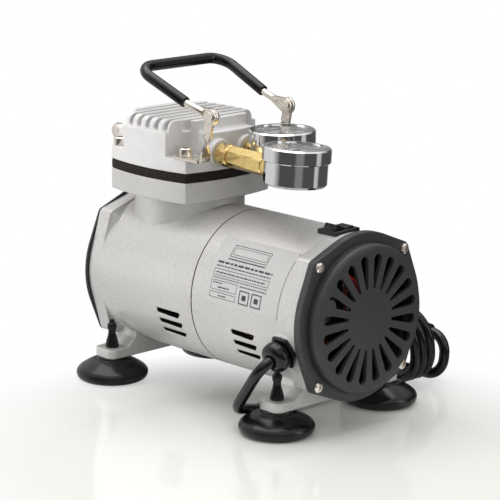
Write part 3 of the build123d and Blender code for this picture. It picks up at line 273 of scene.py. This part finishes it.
def make_plastics():
    cover = Look("cover_plastic", (0.028, 0.029, 0.030), 0.46, specular=0.4)
    cover.tint(cover.spread(cover.noise(30, 3), 0.35, 0.7, 0.0, 0.6), (0.034, 0.035, 0.036))
    # Painted highlight: lighter along the sharp edges.
    cover.tint(cover.edges(0.5), (0.055, 0.055, 0.057))
    cover.rough(cover.spread(cover.noise(6, 3), 0.3, 0.7, 0.40, 0.52))
    cover.bump(cover.noise(0.35, 2), 0.014)
    gloss = Look("black_gloss", (0.003, 0.003, 0.0035), 0.16, specular=0.4)
    gloss.tint(gloss.spread(gloss.noise(9, 3), 0.4, 0.7, 0.0, 0.7), (0.007, 0.007, 0.008))
    gloss.rough(gloss.spread(gloss.noise(12, 3), 0.3, 0.7, 0.12, 0.22))
    gloss.bump(gloss.noise(6, 1), 0.03)
    rubber = Look("foot_rubber", (0.004, 0.004, 0.004), 0.2, specular=0.35)
    rubber.tint(rubber.spread(rubber.noise(7, 4), 0.45, 0.75, 0.0, 0.6), (0.008, 0.008, 0.007))
    rubber.rough(rubber.spread(rubber.noise(9, 3), 0.3, 0.7, 0.16, 0.26))
    rubber.bump(rubber.noise(5, 2), 0.05)
    rubber.bump(rubber.noise(0.9, 2), 0.006)
    grip = Look("grip_rubber", (0.003, 0.003, 0.0035), 0.18, specular=0.4)
    grip.tint(grip.spread(grip.noise(3, 3), 0.45, 0.75, 0.0, 0.6), (0.007, 0.007, 0.007))
    grip.rough(grip.spread(grip.noise(10, 3), 0.3, 0.7, 0.12, 0.22))
    grip.bump(grip.noise(8, 2), 0.08)


def make_bright_metals():
    nickel = Look("nickel_plate", (0.88, 0.82, 0.75), 0.26, metallic=1.0)
    nickel.tint(nickel.spread(nickel.noise(4, 3), 0.4, 0.7, 0.0, 0.5), (0.74, 0.67, 0.60))
    # Painted shade: darker along the sharp edges.
    nickel.tint(nickel.edges(0.45), (0.38, 0.33, 0.29))
    nickel.rough(nickel.spread(nickel.noise(2.5, 3), 0.3, 0.7, 0.20, 0.34))
    chrome = Look("gauge_chrome", (0.82, 0.82, 0.84), 0.05, metallic=1.0)
    chrome.tint(chrome.spread(chrome.noise(12, 3), 0.4, 0.7, 0.0, 0.2), (0.70, 0.70, 0.73))
    chrome.rough(chrome.spread(chrome.noise(2, 5), 0.35, 0.75, 0.03, 0.09))
    chrome.bump(chrome.noise(7, 1), 0.03)
    brass = Look("brass", (0.90, 0.68, 0.28), 0.2, metallic=1.0)
    brass.tint(brass.spread(brass.noise(3.5, 3), 0.4, 0.7, 0.0, 0.5), (0.72, 0.49, 0.17))
    turning = brass.noise(0.35, 2, stretch=(1.0, 12.0, 12.0))
    brass.rough(brass.spread(turning, 0.3, 0.7, 0.17, 0.27))
    # Painted highlight: lighter along the sharp edges.
    brass.tint(brass.edges(0.5), (0.95, 0.80, 0.50))


def make_inner_metals():
    steel = Look("machined_steel", (0.50, 0.50, 0.52), 0.28, metallic=1.0)
    steel.tint(steel.spread(steel.noise(5, 4), 0.45, 0.75, 0.0, 0.5), (0.34, 0.33, 0.33))
    steel.rough(steel.spread(steel.noise(0.4, 2, stretch=(1, 14, 14)), 0.3, 0.7, 0.2, 0.4))
    iron = Look("iron", (0.22, 0.21, 0.21), 0.5, metallic=0.8)
    sheets = iron.math("SINE", iron.math("MULTIPLY", iron.along("X"), 2 * pi / (0.5 * MM)))
    iron.tint(iron.spread(iron.noise(6, 4), 0.45, 0.75, 0.0, 0.6), (0.16, 0.10, 0.07))
    iron.bump(sheets, 0.03)
    alloy = Look("rod_aluminium", (0.60, 0.60, 0.62), 0.38, metallic=0.9)
    alloy.tint(alloy.spread(alloy.noise(5, 3), 0.4, 0.7, 0.0, 0.5), (0.45, 0.45, 0.47))
    alloy.bump(alloy.noise(0.8, 3), 0.04)
    gasket = Look("dark_gasket", (0.008, 0.006, 0.005), 0.6, specular=0.25)
    gasket.tint(gasket.spread(gasket.noise(2, 4), 0.4, 0.7, 0.0, 0.7), (0.016, 0.012, 0.010))
    gasket.bump(gasket.noise(0.5, 3), 0.05)


def make_electrics():
    enamel = Look("winding_enamel", (0.24, 0.022, 0.018), 0.22, coat=0.6)
    enamel.tint(enamel.spread(enamel.noise(2.5, 4), 0.4, 0.7, 0.0, 0.8), (0.42, 0.07, 0.035))
    enamel.rough(enamel.spread(enamel.noise(2, 4), 0.3, 0.7, 0.15, 0.4))
    enamel.bump(enamel.noise(1.0, 3), 0.06)
    cord = Look("lacing_cord", (0.62, 0.55, 0.42), 0.6)
    cord.tint(cord.spread(cord.noise(1.5, 3), 0.4, 0.7, 0.0, 0.8), (0.42, 0.30, 0.20))
    cord.bump(cord.noise(0.4, 2), 0.08)
    for name, colour, dark in (("lead_red", (0.62, 0.012, 0.02), (0.42, 0.006, 0.012)),
                               ("lead_black", (0.010, 0.010, 0.011), (0.022, 0.022, 0.024))):
        lead = Look(name, colour, 0.3, coat=0.2)
        lead.tint(lead.spread(lead.noise(3, 3), 0.4, 0.7, 0.0, 0.7), dark)
        lead.bump(lead.noise(1.0, 2), 0.03)
    earth = Look("lead_earth", (0.09, 0.36, 0.03), 0.32, coat=0.2)
    stripe = earth.math("SINE", earth.math("MULTIPLY", earth.along("Y"), 2 * pi / (6.0 * MM)))
    earth.tint(earth.spread(stripe, 0.2, 0.4), (0.75, 0.62, 0.03))
    earth.bump(earth.noise(1.0, 2), 0.03)


def make_gauge_faces():
    dial = Look("dial_white", (0.84, 0.84, 0.82), 0.34, coat=0.2)
    dial.tint(dial.spread(dial.noise(8, 3), 0.4, 0.7, 0.0, 0.3), (0.78, 0.78, 0.75))
    dial.bump(dial.noise(0.8, 2), 0.01)
    pointer = Look("pointer_black", (0.014, 0.014, 0.015), 0.35)
    pointer.tint(pointer.spread(pointer.noise(2, 3), 0.45, 0.7, 0.0, 0.7), (0.035, 0.034, 0.034))
    pointer.bump(pointer.noise(0.7, 2), 0.02)
    glass = Look("gauge_glass", (0.97, 0.98, 0.98), 0.02)
    glass.shader.inputs["Transmission Weight"].default_value = 1.0
    glass.shader.inputs["IOR"].default_value = 1.47
    glass.rough(glass.spread(glass.noise(6, 4), 0.4, 0.8, 0.01, 0.04))


def make_prints():
    plate = Look("plate_silver", (0.40, 0.397, 0.392), 0.5, metallic=0.2, specular=0.35)
    plate.tint(plate.spread(plate.noise(16, 3), 0.4, 0.7, 0.0, 0.4), (0.36, 0.358, 0.354))
    plate.bump(plate.noise(0.6, 2), 0.015)
    for name, size in (("dial_ink", 1.2), ("plate_ink", 0.8)):
        ink = Look(name, (0.02, 0.02, 0.022), 0.42)
        ink.tint(ink.spread(ink.noise(size, 3), 0.45, 0.75, 0.0, 0.7), (0.06, 0.06, 0.062))
        ink.bump(ink.noise(size / 2, 2), 0.008)


for make in (make_housing_paint, make_head_casting, make_plastics, make_bright_metals,
             make_inner_metals, make_electrics, make_gauge_faces, make_prints):
    make()


def dress(obj, look):
    """Give an object one look and nothing else."""
    if not obj.material_slots:
        obj.data.materials.append(LOOKS[look].material)
    for material_slot in obj.material_slots:
        material_slot.link = "OBJECT"
        material_slot.material = LOOKS[look].material
    return obj


FINISHES = {
    "housing_paint": ("front_housing", "rear_housing"),
    "head_casting": ("cylinder_head",),
    "cover_plastic": ("front_cover", "rear_cover"),
    "black_gloss": ("switch_body", "switch_rocker", "power_cord", "power_plug", "cable_gland",
                    "cord_tie", "cooling_fan"),
    "foot_rubber": ("suction_feet",),
    "grip_rubber": ("handle_grip",),
    "nickel_plate": ("cover_screws", "head_screws", "handle_brackets", "handle_rivets", "handle_rod",
                     "hose_nipples", "plug_pins"),
    "gauge_chrome": ("gauge_cases", "gauge_bezels"),
    "gauge_glass": ("gauge_glasses",),
    "dial_white": ("gauge_dials",),
    "pointer_black": ("vacuum_gauge_needle", "pressure_gauge_needle"),
    "brass": ("gauge_stems", "gauge_adapter", "gauge_bourdon_tubes", "switch_terminals"),
    "machined_steel": ("motor_shaft", "motor_bearing_outer_rings", "motor_bearing_inner_rings",
                       "motor_bearing_balls", "crank_bearing_outer_ring", "crank_bearing_inner_ring",
                       "crank_bearing_balls", "wrist_pin", "housing_tie_bolts", "suction_reed",
                       "discharge_reed", "discharge_reed_stop", "reed_rivets", "eccentric_set_screw"),
    "iron": ("stator_core", "rotor_core", "crank_eccentric", "cylinder_sleeve"),
    "rod_aluminium": ("connecting_rod", "piston"),
    "dark_gasket": ("lower_gasket", "valve_plate", "head_gasket", "piston_ring"),
    "winding_enamel": ("stator_windings",),
    "lead_red": ("motor_leads_red",),
    "lead_black": ("motor_leads_black",),
    "lead_earth": ("earth_lead",),
    "plate_silver": ("rating_plate",),
}
for look_name, members in FINISHES.items():
    for member in members:
        dress(NODES[member], look_name)


# ---- mesh helpers ----------------------------------------------------------------------
def piece(name, mesh, look, body="machine"):
    """Link a mesh as a piece that rides on a body, with one look."""
    obj = bpy.data.objects.new(name, mesh)
    bpy.context.scene.collection.objects.link(obj)
    dress(obj, look)
    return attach(obj, body)


def mesh_of(bm, name, smooth=True, weld=0.0):
    """Finish a bmesh: join vertices closer than weld, turn the normals outward, make a mesh."""
    if weld:
        bmesh.ops.remove_doubles(bm, verts=bm.verts, dist=weld)
    bmesh.ops.recalc_face_normals(bm, faces=bm.faces)
    mesh = bpy.data.meshes.new(name)
    bm.to_mesh(mesh)
    bm.free()
    mesh.polygons.foreach_set("use_smooth", [smooth] * len(mesh.polygons))
    return mesh


def frame_at(origin, along, out):
    """Matrix whose X runs along and whose Z points out."""
    z = Vector(out).normalized()
    x = (Vector(along) - z * Vector(along).dot(z)).normalized()
    matrix = Matrix((x, z.cross(x), z)).transposed().to_4x4()
    matrix.translation = origin
    return matrix


def lathe(bm, profile, place, steps=96):
    """Turn a profile of (radius, height) points in millimetres about place's Z axis."""
    turns = [2 * pi * k / steps for k in range(steps)]
    rings = []
    for radius, height in profile:
        spots = [(radius * cos(a), radius * sin(a), height) for a in (turns if radius else [0])]
        rings.append([bm.verts.new(place @ (Vector(spot) * MM)) for spot in spots])
    for lower, upper in zip(rings, rings[1:]):
        for k in range(steps):
            corners = [lower[k % len(lower)], lower[(k + 1) % len(lower)],
                       upper[(k + 1) % len(upper)], upper[k % len(upper)]]
            bm.faces.new(list(dict.fromkeys(corners)))


def rounded(points, share=0.25, passes=3):
    """Cut the corners of an open outline, again and again, so that it runs as a smooth curve."""
    for _ in range(passes):
        cut = [points[0]]
        for (r0, z0), (r1, z1) in zip(points, points[1:]):
            cut.append((r0 + (r1 - r0) * share, z0 + (z1 - z0) * share))
            cut.append((r1 + (r0 - r1) * share, z1 + (z0 - z1) * share))
        points = cut + [points[-1]]
    return points


def closed_tube(bm, centres, radius, sides=6):
    """Round tube along a closed ring of points, in metres."""
    count = len(centres)
    nearly_along_x = 0.999
    rings = []
    for k, centre in enumerate(centres):
        ahead = (centres[(k + 1) % count] - centres[k - 1]).normalized()
        side = ahead.orthogonal().normalized()
        if abs(ahead.x) < nearly_along_x:
            side = ahead.cross(Vector((1, 0, 0))).normalized()
        other = ahead.cross(side)
        turns = [2 * pi * j / sides for j in range(sides)]
        spokes = [(side * cos(a) + other * sin(a)) * radius for a in turns]
        rings.append([bm.verts.new(centre + spoke) for spoke in spokes])
    for k in range(count):
        near, far = rings[k], rings[(k + 1) % count]
        for j in range(sides):
            bm.faces.new((near[j], near[(j + 1) % sides], far[(j + 1) % sides], far[j]))


def grid_block(bm, across, along, height, spot, cells=1):
    """Thin closed block; spot(u, v, h) gives a point, and cells splits it along v."""
    (u0, u1), (v0, v1), (h0, h1) = across, along, height
    rows = []
    for k in range(cells + 1):
        v = v0 + (v1 - v0) * k / cells
        corners = ((u0, h0), (u1, h0), (u1, h1), (u0, h1))
        rows.append([bm.verts.new(spot(u, v, h)) for u, h in corners])
    for near, far in zip(rows, rows[1:]):
        for j in range(4):
            bm.faces.new((near[j], near[(j + 1) % 4], far[(j + 1) % 4], far[j]))
    bm.faces.new(rows[0][::-1])
    bm.faces.new(rows[-1])


def cast_copy(node, name, look, voxel=CASTING_VOXEL, rounds=5, keep=0.5):
    """Stand in for a sharp CAD node with a casting: soft edges and filled inner corners."""
    bm = bmesh.new()
    bm.from_mesh(NODES[node].data)
    shape = bpy.data.objects.new(name + "_shape", mesh_of(bm, name + "_shape", weld=CAD_WELD))
    bpy.context.scene.collection.objects.link(shape)
    voxels = shape.modifiers.new("voxels", "REMESH")
    voxels.mode = "VOXEL"
    voxels.voxel_size = voxel
    voxels.use_smooth_shade = True
    soften = shape.modifiers.new("soften", "SMOOTH")
    soften.factor = 0.5
    soften.iterations = rounds
    shape.modifiers.new("lighten", "DECIMATE").ratio = keep
    graph = bpy.context.evaluated_depsgraph_get()
    mesh = bpy.data.meshes.new_from_object(shape.evaluated_get(graph))
    bpy.data.objects.remove(shape)
    mesh.name = name
    obj = piece(name, mesh, look)
    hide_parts(node)


def soften_edges(node, width, segments=2):
    """Round the sharp edges of a carried-over CAD node."""
    weld = NODES[node].modifiers.new("weld", "WELD")
    weld.merge_threshold = CAD_WELD
    bevel = NODES[node].modifiers.new("bevel", "BEVEL")
    bevel.width = width * MM
    bevel.segments = segments
    bevel.limit_method = "ANGLE"
    bevel.angle_limit = radians(38)
    bevel.harden_normals = True


# ---- castings and softened parts -------------------------------------------------------
cast_copy("front_housing", "front_housing_casting", "housing_paint")
cast_copy("rear_housing", "rear_housing_casting", "housing_paint")
cast_copy("cylinder_head", "cylinder_head_casting", "head_casting", HEAD_VOXEL, rounds=7)

EDGE_WIDTHS = {
    "switch_body": 0.4, "switch_rocker": 0.5, "handle_brackets": 0.35, "handle_rod": 0.3,
    "gauge_adapter": 0.35, "gauge_stems": 0.3, "head_screws": 0.2, "valve_plate": 0.15,
    "power_plug": 0.5, "cord_tie": 0.5, "hose_nipples": 0.4, "handle_grip": 0.5,
    "handle_rivets": 0.45,
}
for edged, edge_width in EDGE_WIDTHS.items():
    soften_edges(edged, edge_width)


# ---- seam between the two housings -----------------------------------------------------
def make_seam():
    """Dark sealing ring whose edge shows where the housings meet."""
    half_width = 0.42
    root, shoulder, crown = BARREL_R - 0.8, BARREL_R - 0.05, BARREL_R + 0.06
    profile = [(root, -half_width), (shoulder, -half_width), (crown, 0),
               (shoulder, half_width), (root, half_width), (root, -half_width)]
    bm = bmesh.new()
    lathe(bm, profile, frame_at((SEAM_X, SHAFT.y, SHAFT.z), UP, (1, 0, 0)), steps=192)
    mesh = mesh_of(bm, "housing_seam_ring", weld=TURNED_WELD)
    piece("housing_seam_ring", mesh, "dark_gasket")


# ---- suction feet ----------------------------------------------------------------------
def make_feet():
    """Smooth glossy cups with a moulded lip, a plain neck and a bottle-shaped tail."""
    low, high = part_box("suction_feet")
    cup_r, neck_r = 23.25, 3.0
    beam_low, beam_top = 14.65, 20.75
    cup = rounded([(0, 5.4), (11.5, 4.4), (17.0, 2.2), (18.6, 0.0), (20.4, 0.0), (22.3, 1.2),
                   (23.3, 3.4), (23.5, 4.8), (22.4, 6.9), (20.4, 8.6), (17.2, 10.6), (14.0, 12.4),
                   (11.3, 13.4), (10.4, 13.2), (9.9, 13.7), (9.8, beam_low)])
    cup = [(min(radius, cup_r), height) for radius, height in cup]
    neck = [(neck_r, beam_low), (neck_r, beam_top)]
    tail = rounded([(neck_r, 0), (4.3, 0), (4.4, 1.2), (3.9, 4.0), (2.6, 8.0), (2.4, 11.2),
                    (3.1, 12.4), (3.1, 15.0), (1.8, 16.4), (1.5, 18.4), (0, 18.5)])
    tail = [(radius, beam_top + height) for radius, height in tail]
    bm = bmesh.new()
    for x in (low.x + cup_r * MM, high.x - cup_r * MM):
        for y in (low.y + cup_r * MM, high.y - cup_r * MM):
            lathe(bm, cup + neck + tail, Matrix.Translation((x, y, 0)))
    mesh = mesh_of(bm, "suction_feet_moulded", weld=TURNED_WELD)
    feet = piece("suction_feet_moulded", mesh, "foot_rubber")
    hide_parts("suction_feet")


# ---- cable gland -----------------------------------------------------------------------
def make_gland():
    """Domed clamping nut, threaded body, and a hexagon on each side of the wall."""
    low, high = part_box("cable_gland")
    out = Vector((0, -cos(GLAND_ANGLE), -sin(GLAND_ANGLE)))
    origin = Vector(((low.x + high.x) / 2, SHAFT.y, SHAFT.z)) + out * BARREL_R * MM
    place = frame_at(origin, (1, 0, 0), out)
    bore_r, collar_r, thread_r = 3.5, 6.2, 7.5
    thread_end, collar_low, dome_low, bore_top, dome_top = -8.9, 2.0, 4.4, 8.0, 12.0
    dome = rounded([(bore_r, bore_top), (bore_r, dome_top), (5.2, dome_top), (7.6, 11.2),
                    (9.2, 9.4), (9.5, 6.6), (9.4, 4.7), (8.6, dome_low), (collar_r, dome_low)],
                   passes=2)
    body = [(collar_r, dome_low), (collar_r, collar_low), (thread_r, collar_low), (thread_r, thread_end),
            (bore_r, thread_end), (bore_r, bore_top)]
    bm = bmesh.new()
    lathe(bm, dome, place)
    lathe(bm, body, place)
    for start, depth, across_flats in ((-1.75, 4.0, 19.0), (-10.1, 2.8, 18.0)):
        corner, end = across_flats / 2 / cos(pi / 6), start + depth
        hexagon = [(0, start), (corner - 0.5, start), (corner, start + 0.4), (corner, end - 0.5),
                   (corner - 0.7, end), (0, end)]
        lathe(bm, hexagon, place, steps=6)
    mesh = mesh_of(bm, "cable_gland_moulded", weld=TURNED_WELD)
    gland = piece("cable_gland_moulded", mesh, "black_gloss")
    sharp = gland.modifiers.new("sharp", "EDGE_SPLIT")
    sharp.split_angle = radians(32)
    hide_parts("cable_gland")


# ---- windings --------------------------------------------------------------------------
def winding_section(x_core, x_end, step):
    """Points (x, radius) evenly along the outside of an end turn's section, from bore to rim."""
    sign = 1 if x_end > x_core else -1
    corner = WINDING_CORNER
    bore, rim = WINDING_R
    length = abs(x_end - x_core) / MM - corner
    width = rim - bore - 2 * corner
    arc = corner * pi / 2
    total = 2 * (length + arc) + width
    points = []
    for k in range(1, int(total / step)):
        s = k * step
        if s < length:
            spot = (s, bore)
        elif s < length + arc:
            turn = (s - length) / corner
            spot = (length + corner * sin(turn), bore + corner * (1 - cos(turn)))
        elif s < length + arc + width:
            spot = (length + corner, bore + corner + s - length - arc)
        elif s < length + 2 * arc + width:
            turn = (s - length - arc - width) / corner
            spot = (length + corner * cos(turn), rim - corner * (1 - sin(turn)))
        else:
            spot = (total - s, rim)
        points.append((x_core + sign * spot[0] * MM, spot[1] * MM))
    return points


def on_shaft(x, radius, angle):
    """Point at a radius from the shaft's axis and an angle about it, in metres."""
    return Vector((x, SHAFT.y + radius * cos(angle), SHAFT.z + radius * sin(angle)))


def make_windings():
    """Wires that lie round each end turn, and the cord that laces them."""
    wires, lacing = bmesh.new(), bmesh.new()
    pitch, ring_points = 1.9 * STRAND_R, 90
    longer, wider = 1.05, 1.14      # a lace's loop, next to the section that it goes round
    low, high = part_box("stator_windings")
    core_low, core_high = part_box("stator_core")
    for x_core, x_end in ((core_high.x, high.x), (core_low.x, low.x)):
        section = winding_section(x_core, x_end, pitch)
        for x, radius in section:
            ring = [on_shaft(x, radius, 2 * pi * k / ring_points) for k in range(ring_points)]
            closed_tube(wires, ring, STRAND_R * MM, sides=5)
        x0, r0 = [sum(values) / len(section) for values in zip(*section)]
        for k in range(LACES):
            angle = 2 * pi * (k + 0.5) / LACES
            loop = [on_shaft(x0 + (x - x0) * longer, r0 + (r - r0) * wider, angle)
                    for x, r in section]
            closed_tube(lacing, loop, LACE_R * MM)
    piece("winding_wires", mesh_of(wires, "winding_wires"), "winding_enamel")
    piece("winding_lacing", mesh_of(lacing, "winding_lacing"), "lacing_cord")


# ---- printed dials ---------------------------------------------------------------------
def gauge_place(joint_name, turn):
    """Frame at a gauge's centre: Z out of the dial, X away from its stem."""
    joint = JOINTS[joint_name]
    away = Vector((cos(turn), sin(turn), 0))
    return frame_at(joint["pos_m"], away, -Vector(joint["axis"]))


def numeral(bm, text, place):
    """Add a printed number, as thin raised letters centred on place."""
    curve = bpy.data.curves.new("numeral", "FONT")
    curve.body = text
    curve.size = NUMERAL_SIZE * MM
    curve.extrude = NUMERAL_HALF * MM
    curve.align_x, curve.align_y = "CENTER", "CENTER"
    obj = bpy.data.objects.new("numeral", curve)
    bpy.context.scene.collection.objects.link(obj)
    graph = bpy.context.evaluated_depsgraph_get()
    mesh = bpy.data.meshes.new_from_object(obj.evaluated_get(graph))
    mesh.transform(place)
    bm.from_mesh(mesh)
    bpy.data.objects.remove(obj)
    bpy.data.meshes.remove(mesh)


def make_dial(name, joint_name, turn, full_scale, major):
    """Ticks along a three-quarter circle, with a number at each long one, and two rings."""
    bm = bmesh.new()
    place = gauge_place(joint_name, turn)
    low, high = DIAL_HEIGHT, DIAL_HEIGHT + INK
    upright = Matrix.Rotation(-pi / 2, 4, "Z")
    ticks = major * DIAL_MINOR
    for k in range(ticks + 1):
        angle = radians(DIAL_ZERO - DIAL_SWEEP * k / ticks)
        at_tick = place @ Matrix.Rotation(angle, 4, "Z")
        long_tick = k % DIAL_MINOR == 0
        inner, half_width = (13.4, 0.2) if long_tick else (14.6, 0.1)

        def spot(u, v, h):
            return at_tick @ (Vector((v, u, h)) * MM)

        grid_block(bm, (-half_width, half_width), (inner, TICK_R), (low, high), spot)
        if long_tick:
            centre = Vector((NUMERAL_R * cos(angle), NUMERAL_R * sin(angle), high - NUMERAL_HALF))
            value = str(round(full_scale * k / ticks))
            numeral(bm, value, place @ Matrix.Translation(centre * MM) @ upright)
    for inner, outer in ((TICK_R, TICK_R + 0.25), (5.2, 5.4)):
        lathe(bm, [(inner, low), (outer, low), (outer, high), (inner, high), (inner, low)], place)
    mesh = mesh_of(bm, name, smooth=False)
    piece(name, mesh, "dial_ink")


# ---- printed rating plate --------------------------------------------------------------
def make_plate_print():
    """Blank form printed on the plate: ruled boxes and bars in place of words.

    Its layout is in millimetres: u from the plate's left edge, v down round the barrel.
    """
    bm = bmesh.new()
    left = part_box("rating_plate")[0].x
    margin_left, margin_right = 4.5, 52
    sunk, longest_cell = 0.01, 1.5

    def spot(u, v, h):
        """Point on the plate, h millimetres above its face."""
        angle = radians(PLATE_TOP_ANGLE) - v / PLATE_R
        radius = (PLATE_R + h) * MM
        return Vector((left + u * MM, SHAFT.y - radius * cos(angle), SHAFT.z + radius * sin(angle)))

    def bar(u0, u1, v0, v1):
        """Solid bar, split along v so that it follows the barrel's curve."""
        cells = max(1, round((v1 - v0) / longest_cell))
        grid_block(bm, (u0, u1), (v0, v1), (-sunk, INK - sunk), spot, cells)

    def box(u0, u1, v0, v1, line=LINE):
        """Empty ruled box."""
        bar(u0, u1, v0, v0 + line)
        bar(u0, u1, v1 - line, v1)
        bar(u0, u0 + line, v0 + line, v1 - line)
        bar(u1 - line, u1, v0 + line, v1 - line)

    def words(u0, u1, v, height):
        """Row of bars of uneven length, like a line of type seen from afar."""
        u, k = u0, 0
        while u < u1:
            length = height * (1.6 + 2.2 * sin(2.4 * k + v) ** 2)
            bar(u, min(u + length, u1), v, v + height)
            u += length + height * 0.7
            k += 1

    box(12, 44, 5.0, 13.5, line=0.45)
    box(13.6, 42.4, 6.6, 11.9)
    bar(12, 44, 14.6, 15.4)
    words(5, margin_right, 17.4, 1.3)
    words(5, margin_right, 20.2, 0.7)
    box(margin_left, margin_right, 22.4, 26.6)
    words(6.5, 49, 24.2, 0.8)
    dash, dash_pitch = 1.1, 1.6
    for k in range(30):
        start = margin_left + dash_pitch * k
        bar(start, start + dash, 27.6, 28.2)
    box(margin_left, 27, 29.4, 35.4)
    words(6, 14, 30.6, 0.7)
    words(11, 21, 33.0, 0.9)
    box(margin_left, 27, 36.6, 40.2)
    words(12, 19, 38.2, 0.8)
    words(29, margin_right, 29.6, 0.7)
    for u in (30, 40.5):
        box(u, u + 8.6, 32.0, 40.4, line=0.7)
        bar(u + 2.6, u + 6.0, 34.6, 37.8)
    mesh = mesh_of(bm, "rating_plate_print", smooth=False)
    piece("rating_plate_print", mesh, "plate_ink")


make_seam()
make_feet()
make_gland()
make_windings()
make_dial("vacuum_dial_print", "vacuum_needle_turn", radians(-4.2), 100, 5)
make_dial("pressure_dial_print", "pressure_needle_turn", radians(4.1), 10, 5)
make_plate_print()


# ---- studio ----------------------------------------------------------------------------
def make_world():
    """White for the camera; for all else a dark room, bright above and in bands round the sides."""
    world = bpy.data.worlds.new("studio")
    bpy.context.scene.world = world
    world.use_nodes = True
    tree = Nodes(world.node_tree)
    world.node_tree.nodes.clear()
    direction = tree.add("TexCoord").outputs["Generated"]
    sight = Vector(CAMERA_SIGHT)
    behind = Vector((-sight.x, -sight.y, 0)).normalized()
    sideways = tree.dot(direction, UP.cross(behind))
    bearing = tree.math("ARCTAN2", sideways, tree.dot(direction, behind))
    level = ROOM_DARK
    for middle, width, power in ROOM_BANDS:
        offset = tree.math("ABSOLUTE", tree.math("SUBTRACT", bearing, radians(middle)))
        band = tree.spread(offset, radians(width), radians(width * BAND_CORE), 0.0, power)
        level = tree.math("ADD", level, band)
    overhead = tree.spread(tree.dot(direction, UP), *CEILING_RISE)
    level = tree.blend(overhead, level, CEILING)
    room, backdrop, mix = tree.add("Background"), tree.add("Background"), tree.add("MixShader")
    tree.link(level, room.inputs["Strength"])
    room.inputs["Color"].default_value = (1.0, 0.99, 0.975, 1)
    backdrop.inputs["Color"].default_value = (1, 1, 1, 1)
    tree.link(tree.add("LightPath").outputs["Is Camera Ray"], mix.inputs[0])
    tree.link(room.outputs[0], mix.inputs[1])
    tree.link(backdrop.outputs[0], mix.inputs[2])
    tree.link(mix.outputs[0], tree.add("OutputWorld").inputs["Surface"])


def make_floor():
    """Pale glossy table that fades into the white backdrop away from the machine."""
    look = Look("studio_floor", (0.70, 0.705, 0.68), 0.08, specular=0.8)
    look.rough(look.spread(look.noise(40, 2), 0.3, 0.7, 0.07, 0.11))
    away = look.add("VectorMath", operation="DISTANCE")
    look.link(look.place, away.inputs[0])
    away.inputs[1].default_value = FLOOR_CENTRE
    distance = away.outputs["Value"]
    white, clear = look.add("Emission"), look.add("BsdfTransparent")
    beyond, mix = look.add("MixShader"), look.add("MixShader")
    look.link(look.add("LightPath").outputs["Is Camera Ray"], beyond.inputs[0])
    look.link(clear.outputs[0], beyond.inputs[1])
    look.link(white.outputs[0], beyond.inputs[2])
    look.link(look.spread(distance, *FLOOR_FADE), mix.inputs[0])
    look.link(look.shader.outputs[0], mix.inputs[1])
    look.link(beyond.outputs[0], mix.inputs[2])
    look.link(mix.outputs[0], look.tree.nodes["Material Output"].inputs["Surface"])
    bm = bmesh.new()
    bmesh.ops.create_grid(bm, x_segments=1, y_segments=1, size=FLOOR_HALF)
    floor = bpy.data.objects.new("studio_floor", mesh_of(bm, "studio_floor"))
    bpy.context.scene.collection.objects.link(floor)
    dress(floor, "studio_floor")


def soft_light(name, place, size, power, mirrored=True):
    """Rectangular softbox aimed at the middle of the machine; it may stay out of reflections."""
    data = bpy.data.lights.new(name, "AREA")
    data.shape = "RECTANGLE"
    data.size, data.size_y = size
    data.energy = power
    light = bpy.data.objects.new(name, data)
    light.visible_glossy = mirrored
    light.location = place
    aim = LIGHT_AIM - Vector(place)
    light.rotation_euler = aim.to_track_quat("-Z", "Y").to_euler()
    bpy.context.scene.collection.objects.link(light)


def make_camera():
    """Camera at the photo's angle."""
    data = bpy.data.cameras.new("camera")
    data.lens, data.sensor_width = CAMERA_LENS, SENSOR
    data.clip_start = 0.01
    camera = bpy.data.objects.new("camera", data)
    sight = Vector(CAMERA_SIGHT).to_track_quat("-Z", "Y").to_matrix().to_4x4()
    roll = Matrix.Rotation(CAMERA_ROLL, 4, "Z")
    camera.matrix_world = Matrix.Translation(CAMERA_PLACE) @ sight @ roll
    bpy.context.scene.collection.objects.link(camera)
    bpy.context.scene.camera = camera


make_world()
make_floor()
soft_light("top_softbox", (-0.2, 0.0, 1.2), (1.2, 1.2), 10.5)
soft_light("left_softbox", (-0.75, -1.15, 0.16), (0.9, 0.6), 21.0, mirrored=False)
soft_light("front_fill", (1.1, -0.45, 0.3), (0.8, 0.6), 5.0, mirrored=False)
soft_light("right_softbox", (1.3, 0.6, 0.6), (0.5, 0.9), 2.5)
make_camera()
bpy.context.scene.view_settings.view_transform = "Standard"
